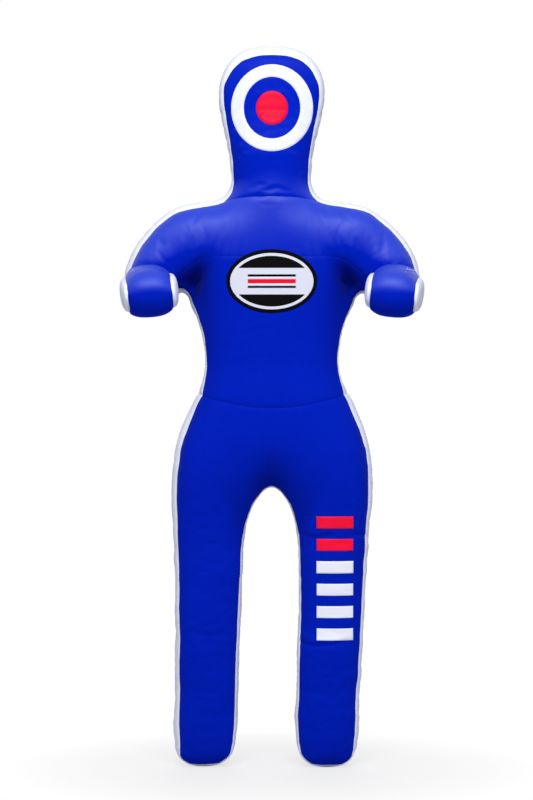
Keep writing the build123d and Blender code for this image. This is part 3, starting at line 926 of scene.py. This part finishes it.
class Finish:
    """A material under construction: its nodes, and its principled shader."""

    def __init__(self, name):
        self.material = bpy.data.materials.new(name)
        self.material.use_nodes = True
        self.tree = self.material.node_tree
        self.shader = self.tree.nodes["Principled BSDF"]

    def node(self, kind, settings=None, inputs=None):
        """Adds a node and returns its outputs as wires."""
        made = self.tree.nodes.new(kind)
        for name, value in (settings or {}).items():
            if name == "stops":
                self.set_stops(made.color_ramp, value)
            else:
                setattr(made, name, value)
        for key, value in (inputs or {}).items():
            self.plug(made.inputs[key], value)
        return [Wire(self, output) for output in made.outputs]

    def plug(self, socket, value):
        if isinstance(value, Wire):
            self.tree.links.new(value.socket, socket)
        else:
            socket.default_value = value

    def set_stops(self, ramp, stops):
        while len(ramp.elements) < len(stops):
            ramp.elements.new(1.0)
        for element, (place, colour) in zip(ramp.elements, stops):
            element.position, element.color = place, colour

    def set(self, **inputs):
        """Sets or links inputs of the principled shader, such as Base_Color or Roughness."""
        for name, value in inputs.items():
            self.plug(self.shader.inputs[name.replace("_", " ")], value)
        return self

    def places(self):
        """Object coordinates, as a vector and as three wires."""
        coordinates = self.node("ShaderNodeTexCoord")[3]
        return coordinates, self.node("ShaderNodeSeparateXYZ", None, {0: coordinates})

    def noise(self, coordinates, scale, detail=3.0, roughness=0.55):
        return self.node(
            "ShaderNodeTexNoise", None,
            {"Vector": coordinates, "Scale": scale, "Detail": detail, "Roughness": roughness},
        )[0]

    def mix(self, factor, first, second):
        """A colour between two, by a factor."""
        made = self.tree.nodes.new("ShaderNodeMix")
        made.data_type = "RGBA"
        for key, value in ((0, factor), (6, first), (7, second)):
            self.plug(made.inputs[key], value)
        return Wire(self, made.outputs[2])

    def bumped(self, height, strength, distance):
        inputs = {"Strength": strength, "Distance": distance, "Height": height}
        normal = self.node("ShaderNodeBump", None, inputs)
        return self.set(Normal=normal[0])


# %% [markdown]
# The cover is a tightly woven, coated cloth with a satin sheen: blue on the panels, a slightly
# bluish white on the gusset. The weave is far finer than anything else on it, so it is bump alone.
# A slow change in the blue is painted in. So is painted shade: a darker line in the bottom of each
# seam, and shade in the armpits, at the waist and at the crotch, on the front only, for folds deeper
# than the mesh has. Blue cloth that faces up gets a painted highlight: it is painted paler, and its
# coat is made glossier, so that its real reflection is stronger there too. Which way it faces is
# read in the room and not on the cloth, so its tone changes when a limb turns. The white strip has
# one colour. The seam's line, the shade and the highlight are numbers that every vertex carries.

# %% the finishes of the cloth
def weave(finish, places, pitch):
    """Threads crossing over and under, as a height from 0 to 1."""
    x, y, z = places
    turn = 2 * math.pi / pitch
    warp = ((x + y * 0.5) * turn).sine()
    weft = ((z + y * 0.5) * turn).sine()
    return warp * weft * 0.5 + 0.5


FACING_GAIN = 2.2        # how soon cloth that turns upwards counts as facing up


def cloth(name, colour, deep, pale, roughness, seam_shade=0.55, coat=0.9, sheen=0.04):
    """Woven cloth in a plain and a deeper colour, and a pale one painted as a highlight where it faces up."""
    finish = Finish(name)
    coordinates, places = finish.places()
    slow = finish.noise(coordinates, 5.0, detail=2.0)
    patchy = (slow - 0.35) * 1.6 + (finish.noise(coordinates, 75.0, detail=3.0) - 0.5) * 1.5
    base = finish.mix(patchy.limited(), colour, deep)

    def field(kept):
        return finish.node("ShaderNodeAttribute", {"attribute_name": kept})[2]

    distance = field("seam_distance")
    # the darker line at the bottom of each seam is painted shade
    line = (1 - distance * (1 / 0.0016)).limited()
    shaded = finish.mix(line * seam_shade, base, tuple(c * 0.25 for c in deep[:3]) + (1,))
    stitch_zone = (1 - ((distance - 0.0045) * (1 / 0.0009)).absolute()).limited()
    threads = ((places[2] + places[0]) * (2 * math.pi / 0.0065)).sine() * 0.5 + 0.5
    grain = finish.noise(coordinates, 260.0, detail=2.0)
    height = weave(finish, places, 0.0011) * 0.6 + grain * 0.5 - stitch_zone * threads * 1.4
    # painted highlight: cloth that faces up in the room is painted paler and given a glossier coat
    facing = finish.node("ShaderNodeSeparateXYZ", None, {0: finish.node("ShaderNodeNewGeometry")[1]})[2]
    uneven = finish.noise(coordinates, 11.0, detail=3.0) * 0.8 + 0.6
    upward = ((facing + 0.02) * FACING_GAIN).limited() * uneven
    painted_highlight = (upward * field("shine")).limited()
    lit = finish.mix(painted_highlight, shaded, pale)
    dark = finish.mix(field("sheltered") * 0.7, lit, tuple(c * 0.2 for c in deep[:3]) + (1,))
    finish.set(Base_Color=dark, Roughness=slow * 0.10 + (roughness - 0.05))
    finish.set(Coat_Weight=painted_highlight * coat, Coat_Roughness=0.5, Coat_IOR=1.42)
    finish.set(Sheen_Weight=sheen, Sheen_Roughness=0.4, Sheen_Tint=(0.75, 0.80, 1.0, 1))
    finish.set(Specular_IOR_Level=0.0)
    finish.bumped(height, 0.55, 0.00012)
    return finish.material


# the third colour is the paler tone of the painted highlight; the white's is its own colour
blue_cloth = cloth(
    "blue_cloth", (0.0008, 0.0145, 0.470, 1), (0.0008, 0.0125, 0.425, 1), (0.013, 0.043, 0.530, 1), 0.45
)
white_cloth = cloth(
    "white_cloth", (0.83, 0.86, 1.00, 1), (0.80, 0.83, 0.98, 1), (0.83, 0.86, 1.00, 1), 0.50,
    seam_shade=0.35, coat=0.0, sheen=0.05
)
print("cloth finishes:", blue_cloth.name, white_cloth.name)

# %% [markdown]
# Each piece of cover stands for the stiff panel of the mechanical model, which it hides. The hips
# ride on the pelvis, and the yoke and the armhole linings on the torso; the other pieces and the
# sleeve linings stay where they were made. The forearms ride on their own body, and near the
# elbow's upper limit they cut into the front of the sleeve.


def dress(piece, nodes, slot):
    """Gives a padded piece of cover its cloth, white or blue by its slot, and hides the parts it stands for.
    """
    piece.data.materials.clear()
    piece.data.materials.append(white_cloth if slot == "white_cover" else blue_cloth)
    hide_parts(*nodes)


for panel in PANELS:
    slot = "white_cover" if panel == "gusset" else "blue_cover"
    node_name = panel if panel == "gusset" else panel + "_panel"
    stuffing = panel == "front"
    head = cover["head_" + panel]
    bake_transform(head)
    dress(head, ["head_" + node_name] + ["head_stuffing"] * stuffing, slot)
    torso = cover["torso_" + panel]
    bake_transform(torso)
    torso_node = "torso_belly_panel" if panel == "front" else "torso_" + node_name
    dress(torso, [torso_node] + ["torso_stuffing"] * stuffing, slot)
    hips = cover["hips_" + panel]
    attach(hips, "pelvis")
    dress(hips, ["pelvis_" + node_name] + ["pelvis_stuffing"] * stuffing, slot)
    for limb, side in zip(LIMBS, (1, -1)):
        sleeve = cover[f"{limb}_sleeve_{panel}"]
        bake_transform(sleeve)
        dress(sleeve, [f"{limb}_upper_arm_{node_name}"] + [f"{limb}_upper_arm_stuffing"] * stuffing, slot)
        leg_top = cover[f"{limb}_leg_top_{panel}"]
        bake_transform(leg_top)
        dress(leg_top, [f"{limb}_thigh_{node_name}"] + [f"{limb}_thigh_stuffing"] * stuffing, slot)
        leg_end = cover[f"{limb}_leg_end_{panel}"]
        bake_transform(leg_end)
        dress(leg_end, [f"{limb}_lower_leg_{node_name}"] + [f"{limb}_lower_leg_stuffing"] * stuffing, slot)

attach(cover["torso_yoke"], "torso")
dress(cover["torso_yoke"], ["torso_yoke_panel"], "blue_cover")
for limb, side in zip(LIMBS, (1, -1)):
    arm_side, arm_inside = linings[limb]
    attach(arm_side, "torso")
    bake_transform(arm_inside)
    for lining in linings[limb]:
        dress(lining, [], "blue_cover")
    band, sides = cover[f"{limb}_hand_band"], cover[f"{limb}_hand_sides"]
    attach(band, f"{limb}_forearm")
    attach(sides, f"{limb}_forearm")
    forearm_nodes = [f"{limb}_forearm_{name}" for name in ("upper_panel", "lower_panel", "stuffing")]
    dress(band, forearm_nodes, "blue_cover")
    dress(sides, [f"{limb}_forearm_side_panels"], "white_cover")
print("pieces of cover:", len(cover) + 4)

# %% [markdown]
# The target, the patch and the bars are cut from thin vinyl and sewn on. Each is made flat, by
# spinning a short profile or insetting a grid, with its rim a little lower than the rest. A ray
# from the front then finds the cover behind every vertex, and the piece is laid on it there.

# %% sewn-on pieces
RIM, RAISED = -0.0006, 0.0011    # height of a rim and of the rest, above the cover


def turned(middle, radii, stretch, profile, steps=144):
    """A ring or disc about a (x, z) middle, by spinning (inset, height) points. Stretch is in x."""
    bm = bmesh.new()
    points = [bm.verts.new((0, height, radii - inset)) for inset, height in profile]
    for a, b in zip(points, points[1:]):
        bm.edges.new((a, b))
    bmesh.ops.spin(
        bm, geom=bm.verts[:] + bm.edges[:], cent=(0, 0, 0), axis=(0, 1, 0),
        angle=math.tau, steps=steps, dvec=(0, 0, 0),
    )
    bmesh.ops.remove_doubles(bm, verts=bm.verts, dist=2e-5)
    for vertex in bm.verts:
        x, height, z = vertex.co
        radius = math.hypot(x, z)
        wider = (radius + stretch) / radius if radius > 1e-4 else 1.0
        vertex.co = (middle[0] + x * wider, height, middle[1] + z)
    return bm


def flat_profile(outer, inner, border=0.0012, rows=6):
    """Insets and heights across a flat band of vinyl, from its outer rim to its inner one."""
    width = outer - inner
    last = width if inner == 0 else width - border
    between = [(border + (last - border) * i / rows, RAISED) for i in range(rows + 1)]
    return [(0, RIM)] + between + ([] if inner == 0 else [(width, RIM)])


def bar_shapes(x, heights, width, height):
    """Level bars with lowered rims, as one mesh."""
    bm = bmesh.new()
    for z in heights:
        grid = bmesh.ops.create_grid(bm, x_segments=24, y_segments=8, size=0.5)["verts"]
        for vertex in grid:
            vertex.co = (x + vertex.co.x * width, 0, z + vertex.co.y * height)
    bmesh.ops.inset_region(bm, faces=bm.faces[:], thickness=0.0012, use_boundary=True, use_even_offset=True)
    for vertex in bm.verts:
        vertex.co.y = RIM if vertex.is_boundary else RAISED
    return bm


def laid_on(name, bm):
    """An object made of a flat piece, laid on the front of the cover."""
    for vertex in bm.verts:
        x, height, z = vertex.co
        spot, normal, _, _ = skin_tree.ray_cast(Vector((x, -1.0, z)), Vector((0, 1, 0)))
        lean = Vector((normal.x * 0.5, normal.y, normal.z * 0.5)).normalized()
        vertex.co = spot + lean * height
    bmesh.ops.recalc_face_normals(bm, faces=bm.faces)
    if sum(face.normal.y * face.calc_area() for face in bm.faces) > 0:
        bmesh.ops.reverse_faces(bm, faces=bm.faces)
    for face in bm.faces:
        face.smooth = True
    mesh = bpy.data.meshes.new(name)
    bm.to_mesh(mesh)
    bm.free()
    piece = bpy.data.objects.new(name, mesh)
    bpy.context.scene.collection.objects.link(piece)
    return piece


TARGET_Z, RING_OUT, RING_IN, DISC = 1.6195, 0.1070, 0.0750, 0.0420
PATCH_X, PATCH_Z, PATCH_HALF_W, PATCH_HALF_H, PATCH_BORDER = 0.0, 1.1967, 0.1108, 0.0780, 0.0104
BAR_X, BAR_W, BAR_H, BAR_PITCH, LOWEST_BAR = 0.1540, 0.090, 0.030, 0.055, 0.333
ring = laid_on("target_ring", turned((0, TARGET_Z), RING_OUT, -0.0065, flat_profile(RING_OUT, RING_IN)))
disc = laid_on("target_disc", turned((0, TARGET_Z), DISC, -0.0025, flat_profile(DISC, 0)))
cord_rim = [
    (PATCH_BORDER * (1 - math.cos(a)) / 2, 0.0019 * math.sin(a) - 0.0003)
    for a in np.linspace(0, math.pi, 9)
]
patch_rim = laid_on(
    "patch_rim", turned((PATCH_X, PATCH_Z), PATCH_HALF_H, PATCH_HALF_W - PATCH_HALF_H, cord_rim)
)
inner_h = PATCH_HALF_H - PATCH_BORDER + 0.0012
inner_profile = [(inset, 0.0007) for inset in np.linspace(0, inner_h, 16)]
patch_field = laid_on(
    "patch_face", turned((PATCH_X, PATCH_Z), inner_h, PATCH_HALF_W - PATCH_HALF_H, inner_profile)
)
bar_heights = [LOWEST_BAR + i * BAR_PITCH for i in range(6)]
white_bars = laid_on("white_bars", bar_shapes(BAR_X, bar_heights[:4], BAR_W, BAR_H))
red_bars = laid_on("red_bars", bar_shapes(BAR_X, bar_heights[4:], BAR_W, BAR_H))
print("sewn on:", [o.name for o in (ring, disc, patch_rim, patch_field, white_bars, red_bars)])

# %% [markdown]
# Vinyl is smoother than the cover and has a soft sheen. The patch is woven twill with a thick black
# thread border, whose stitches run across it all the way round. The patch's face carries a plain
# pattern of bands.

# %% finishes of the sewn-on pieces
def vinyl(name, colour, roughness=0.42):
    finish = Finish(name)
    coordinates, places = finish.places()
    grain = finish.noise(coordinates, 420.0, detail=2.0)
    waves = finish.noise(coordinates, 60.0, detail=1.0)
    finish.set(Base_Color=colour, Roughness=grain * 0.10 + (roughness - 0.05), Specular_IOR_Level=0.08)
    finish.bumped(grain * 0.4 + waves * 0.6, 0.35, 0.0002)
    return finish.material


def thread_border(name):
    """Satin stitch: threads that run from the rim inwards, all the way round."""
    finish = Finish(name)
    _, (x, y, z) = finish.places()
    angle = ((z - PATCH_Z) * (PATCH_HALF_W / PATCH_HALF_H)).angle_over(x - PATCH_X)
    threads = (angle * 560.0).sine() * 0.5 + 0.5
    finish.set(Base_Color=(0.002, 0.002, 0.003, 1), Roughness=0.5, Specular_IOR_Level=0.03)
    finish.bumped(threads, 0.7, 0.0004)
    return finish.material


def patch_face(name, white, black, red):
    """White twill with a black band at the top and bottom and three thin stripes between them."""
    finish = Finish(name)
    coordinates, (x, y, z) = finish.places()
    across = (x - PATCH_X) * (1 / (PATCH_HALF_W - PATCH_BORDER - 0.006))
    up = (z - PATCH_Z) * (1 / (PATCH_HALF_H - PATCH_BORDER - 0.006))
    inside = 1 - (across * across + up * up).over(1.0, 0.02)
    caps = up.absolute().over(0.52, 0.02) * inside
    short = 1 - across.absolute().over(0.62, 0.02)
    stripes = (1 - (up.absolute() - 0.225).absolute().over(0.045, 0.02)) * short
    middle = (1 - up.absolute().over(0.085, 0.02)) * short
    base = finish.mix((caps + stripes).limited(), white, black)
    base = finish.mix(middle.limited(), base, red)
    twill = ((x + z) * (math.tau / 0.0016)).sine() * 0.5 + 0.5
    finish.set(Base_Color=base, Roughness=0.55, Specular_IOR_Level=0.03)
    finish.bumped(twill, 0.5, 0.0002)
    return finish.material


target_white = vinyl("target_white", (0.74, 0.765, 0.95, 1))
target_red = vinyl("target_red", (0.75, 0.0032, 0.037, 1))
print_white = vinyl("print_white", (0.86, 0.88, 1.0, 1))
print_red = vinyl("print_red", (0.95, 0.006, 0.045, 1))
patch_black = thread_border("patch_border")
patch_white = patch_face(
    "patch_face", (0.68, 0.70, 0.82, 1), (0.002, 0.002, 0.003, 1), (0.80, 0.006, 0.030, 1)
)
SEWN_ON = [
    (ring, "head_target_ring", target_white, "target_white"),
    (disc, "head_target_disc", target_red, "target_red"),
    (patch_rim, "chest_patch_border", patch_black, "patch_black"),
    (patch_field, "chest_patch_field", patch_white, "patch_white"),
    (white_bars, "left_thigh_white_bars", print_white, "bar_white"),
    (red_bars, "left_thigh_red_bars", print_red, "bar_red"),
]
for piece, node, material, slot in SEWN_ON:
    piece.data.materials.append(material)
    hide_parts(node)
for piece in (ring, disc):
    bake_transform(piece)
for piece in (patch_rim, patch_field):
    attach(piece, "torso")
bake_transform(red_bars)
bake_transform(white_bars)
print("finishes:", [material.name for _, _, material, _ in SEWN_ON])

# %% [markdown]
# The zipper in the back is a pair of woven tapes with a row of teeth on each, set half a step
# apart, a stop at each end, and a slider whose pull hangs from a pin between two ears.

# %% zipper
def block(bm, low, high, bevel, segments=2):
    """A box between two corners with rounded edges."""
    low, high = Vector(low), Vector(high)
    verts = bmesh.ops.create_cube(bm, size=1.0)["verts"]
    bmesh.ops.scale(bm, verts=verts, vec=high - low)
    bmesh.ops.translate(bm, verts=verts, vec=(low + high) / 2)
    edges = list({e for v in verts for e in v.link_edges})
    bmesh.ops.bevel(
        bm, geom=edges, offset=bevel, offset_type="OFFSET", segments=segments, profile=0.5,
        affect="EDGES", material=-1, clamp_overlap=True,
    )


def rod(bm, a, b, radius, segments=20):
    """A cylinder between two points."""
    a, b = Vector(a), Vector(b)
    made = bmesh.ops.create_cone(
        bm, cap_ends=True, segments=segments, radius1=radius, radius2=radius, depth=(b - a).length
    )["verts"]
    turn = (b - a).to_track_quat("Z", "Y").to_matrix()
    bmesh.ops.rotate(bm, verts=made, cent=(0, 0, 0), matrix=turn)
    bmesh.ops.translate(bm, verts=made, vec=(a + b) / 2)


def as_object(name, bm, material, nodes, body_name):
    """Finishes a hard piece: smooth shading with sharp corners, its finish and its body."""
    for edge in bm.edges:
        edge.smooth = len(edge.link_faces) == 2 and edge.calc_face_angle(0) < math.radians(40)
    for face in bm.faces:
        face.smooth = True
    mesh = bpy.data.meshes.new(name)
    bm.to_mesh(mesh)
    bm.free()
    mesh.materials.append(material)
    piece = bpy.data.objects.new(name, mesh)
    bpy.context.scene.collection.objects.link(piece)
    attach(piece, body_name)
    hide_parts(*nodes)
    return piece


def tape_finish():
    """Woven tape with a rib beside each row of teeth and a line of stitching near each edge."""
    finish = Finish("zipper_tape")
    _, (x, y, z) = finish.places()
    side = x.absolute()
    ribs = (side * (math.tau / 0.0019)).sine() * 0.5 + 0.5
    stitch_line = 1 - (side - 0.0128).absolute().over(0.0005, 0.0003)
    stitches = stitch_line * (z * (math.tau / 0.004)).sine().over(-0.2, 0.3)
    weft = (z * (math.tau / 0.0009)).sine() * 0.5 + 0.5
    colour = finish.mix(stitches, (0.010, 0.012, 0.022, 1), (0.05, 0.06, 0.10, 1))
    finish.set(Base_Color=colour, Roughness=0.75, Specular_IOR_Level=0.2)
    finish.bumped(ribs * 0.4 + weft * 0.3 + stitches, 0.6, 0.0003)
    return finish.material


def metal_finish(name, colour, roughness):
    finish = Finish(name)
    coordinates, _ = finish.places()
    wear = finish.noise(coordinates, 180.0, detail=3.0)
    finish.set(Base_Color=colour, Metallic=1.0, Roughness=wear * 0.15 + roughness)
    return finish.material


tape_low, tape_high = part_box("zipper_tape")
bm = bmesh.new()
for side in (-1, 1):
    x_low, x_high = sorted((side * 0.0004, side * tape_high.x))
    block(bm, (x_low, tape_low.y, tape_low.z), (x_high, tape_high.y, tape_high.z), 0.0008)
tape = as_object("zip_tape", bm, tape_finish(), ["zipper_tape"], "torso")

teeth_low, teeth_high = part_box("zipper_teeth")
bm = bmesh.new()
TOOTH_PITCH = 0.0030
rows = int((teeth_high.z - teeth_low.z) / TOOTH_PITCH)
for row in range(2 * rows - 1):
    side = 1 if row % 2 else -1
    z = teeth_low.z + TOOTH_PITCH * (row + 1) / 2
    x_low, x_high = sorted((-side * 0.0009, side * teeth_high.x))
    block(bm, (x_low, teeth_low.y, z - 0.00062), (x_high, teeth_high.y, z + 0.00062), 0.0003, segments=1)
black_plastic = Finish("zipper_teeth").set(Base_Color=(0.012, 0.013, 0.018, 1), Roughness=0.35).material
teeth = as_object("zip_teeth", bm, black_plastic, ["zipper_teeth"], "torso")

steel = metal_finish("zipper_metal", (0.60, 0.60, 0.62, 1), 0.24)
stops_low, stops_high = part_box("zipper_stops")
bm = bmesh.new()
STOP_L = 0.006
for z in (stops_low.z, stops_high.z - STOP_L):
    block(bm, (stops_low.x, stops_low.y, z), (stops_high.x, stops_high.y, z + STOP_L), 0.0009, segments=3)
stops = as_object("zip_stops", bm, steel, ["zipper_stops"], "torso")
print("teeth:", 2 * rows - 1, "; triangles:", len(teeth.data.polygons))

# %% slider and pull
slide_low, slide_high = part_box("zipper_slider")
pull_low, pull_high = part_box("zipper_pull")
PIN_Y, PIN_Z = joint["zipper_pull_flip"]["pos_m"][1:]
BODY_FACE = slide_low.y + 0.0064
bm = bmesh.new()
back_plate = (slide_low.x, slide_low.y + 0.0038, slide_low.z)
block(bm, back_plate, (slide_high.x, BODY_FACE, slide_high.z), 0.0016, segments=4)
for side in (-1, 1):
    x_low, x_high = sorted((side * 0.0041, side * slide_high.x))
    flange_end = (x_high, slide_low.y + 0.0045, slide_high.z)
    block(bm, (x_low, slide_low.y, slide_low.z), flange_end, 0.0012, segments=3)
    ear = sorted((side * (pull_high.x + 0.0003), side * (pull_high.x + 0.0025)))
    ear_end = (ear[1], slide_high.y, PIN_Z + 0.0042)
    block(bm, (ear[0], BODY_FACE - 0.001, PIN_Z - 0.0042), ear_end, 0.0009, segments=3)
rod(bm, (-pull_high.x - 0.0028, PIN_Y, PIN_Z), (pull_high.x + 0.0028, PIN_Y, PIN_Z), 0.0013)
slider = as_object("zip_slider", bm, steel, ["zipper_slider"], "zipper_slider")

bm = bmesh.new()
half = (pull_high.x - pull_low.x) / 2
for side in (-1, 1):
    x_low, x_high = sorted((side * half, side * (half - 0.0022)))
    arm_end = (x_high, PIN_Y + 0.0010, PIN_Z + 0.0018)
    block(bm, (x_low, PIN_Y - 0.0010, pull_low.z + 0.010), arm_end, 0.0006, segments=3)
rod(bm, (-half, PIN_Y, PIN_Z), (half, PIN_Y, PIN_Z), 0.0024)
block(bm, (-half, PIN_Y - 0.0010, pull_low.z), (half, PIN_Y + 0.0010, pull_low.z + 0.022), 0.0008, segments=3)
pull = as_object("zip_pull", bm, steel, ["zipper_pull"], "zipper_pull")
print("slider and pull:", slider.name, pull.name)

# %% [markdown]
# The dummy stands on a wide round floor under a white world. Both look white to the camera and to
# glossy and clear surfaces, yet they throw only a plain level of light back on the dummy. Near the
# feet the floor keeps a part of its own shading, and with it the dummy's shadow. The main lamp is
# wide and stands in front and above. Two weak ones fill the sides, and one lights the back.

# %% studio
SHADOW_REACH = 0.65      # radius of the floor that keeps some shading, in metres
SHADOW_SHARE = 0.30      # how much of it is kept in the middle


def floor_disc():
    """A wide round floor."""
    bm = bmesh.new()
    bmesh.ops.create_circle(bm, cap_ends=True, segments=96, radius=14.0)
    mesh = bpy.data.meshes.new("studio_floor")
    bm.to_mesh(mesh)
    bm.free()
    disc = bpy.data.objects.new("studio_floor", mesh)
    bpy.context.scene.collection.objects.link(disc)
    return disc


def seen_white(tree, output, shader, share=1.0):
    """Mixes a share of plain white glow over a shader, for the camera and for glossy and clear rays."""
    rays = tree.nodes.new("ShaderNodeLightPath")
    kind = "ShaderNodeBackground" if output.bl_idname.endswith("World") else "ShaderNodeEmission"
    glow = tree.nodes.new(kind)
    glow.inputs["Color"].default_value = (1, 1, 1, 1)
    glow.inputs["Strength"].default_value = 1.0
    either = tree.nodes.new("ShaderNodeMath")
    either.operation = "MAXIMUM"
    tree.links.new(rays.outputs["Is Glossy Ray"], either.inputs[0])
    tree.links.new(rays.outputs["Is Transmission Ray"], either.inputs[1])
    both = tree.nodes.new("ShaderNodeMath")
    both.operation = "MAXIMUM"
    tree.links.new(rays.outputs["Is Camera Ray"], both.inputs[0])
    tree.links.new(either.outputs[0], both.inputs[1])
    part = tree.nodes.new("ShaderNodeMath")
    part.operation = "MULTIPLY"
    if isinstance(share, Wire):
        tree.links.new(share.socket, part.inputs[1])
    else:
        part.inputs[1].default_value = share
    tree.links.new(both.outputs[0], part.inputs[0])
    mixed = tree.nodes.new("ShaderNodeMixShader")
    tree.links.new(part.outputs[0], mixed.inputs[0])
    tree.links.new(shader, mixed.inputs[1])
    tree.links.new(glow.outputs[0], mixed.inputs[2])
    tree.links.new(mixed.outputs[0], output.inputs["Surface"])
    return mixed


studio = floor_disc()
paper = Finish("studio_paper")
paper.set(Base_Color=(0.60, 0.60, 0.62, 1), Roughness=0.9, Specular_IOR_Level=0.1)
_, spot = paper.places()
near_feet = (1 - (spot[0] * spot[0] + spot[1] * spot[1]) * (1 / SHADOW_REACH ** 2)).limited()
seen_white(
    paper.tree, paper.tree.nodes["Material Output"], paper.shader.outputs[0],
    share=1 - near_feet * SHADOW_SHARE,
)
studio.data.materials.append(paper.material)
scene = bpy.context.scene
world = bpy.data.worlds.new("studio_world")
scene.world = world
world.use_nodes = True
room = world.node_tree.nodes["Background"]
room.inputs["Color"].default_value = (0.93, 0.95, 1.0, 1)
room.inputs["Strength"].default_value = 0.085
seen_white(world.node_tree, world.node_tree.nodes["World Output"], room.outputs[0])


def lamp(name, place, aim, width, height, power):
    """A soft rectangular lamp."""
    light = bpy.data.lights.new(name, "AREA")
    light.shape = "RECTANGLE"
    light.size, light.size_y, light.energy = width, height, power
    holder = bpy.data.objects.new(name, light)
    holder.location = place
    holder.rotation_euler = (Vector(aim) - Vector(place)).to_track_quat("-Z", "Y").to_euler()
    scene.collection.objects.link(holder)
    return holder


lamp("key_lamp", (0.0, -3.2, 3.9), (0, 0.0, 1.1), 3.0, 1.6, 212)
for side in (-1, 1):
    lamp("side_lamp", (side * 3.0, -0.3, 1.5), (0, 0.05, 0.9), 1.5, 2.0, 12)
lamp("back_lamp", (0.0, 3.6, 2.0), (0, 0.05, 1.0), 2.0, 1.4, 75)

# %% [markdown]
# The camera stands seven metres off at chest height, almost straight in front of the dummy, and
# looks at the middle of the figure.

# %% camera
CAMERA_TURN, CAMERA_RISE, CAMERA_DISTANCE = math.radians(1.0), math.radians(1.5), 7.0
AIM = Vector((-0.0148, MID_Y, 0.905))
FRAME_HEIGHT = 1.9776        # metres seen from top to bottom at the aim
lens = bpy.data.cameras.new("camera")
lens.sensor_fit, lens.sensor_height = "VERTICAL", 36
lens.lens = 36 * CAMERA_DISTANCE / FRAME_HEIGHT
camera = bpy.data.objects.new("camera", lens)
scene.collection.objects.link(camera)
away = Vector((
    math.sin(CAMERA_TURN) * math.cos(CAMERA_RISE),
    -math.cos(CAMERA_TURN) * math.cos(CAMERA_RISE),
    math.sin(CAMERA_RISE),
))
camera.location = AIM + away * CAMERA_DISTANCE
camera.rotation_euler = (-away).to_track_quat("-Z", "Y").to_euler()
scene.camera = camera
scene.view_settings.view_transform = "Standard"
print("camera at", tuple(round(v, 3) for v in camera.location))
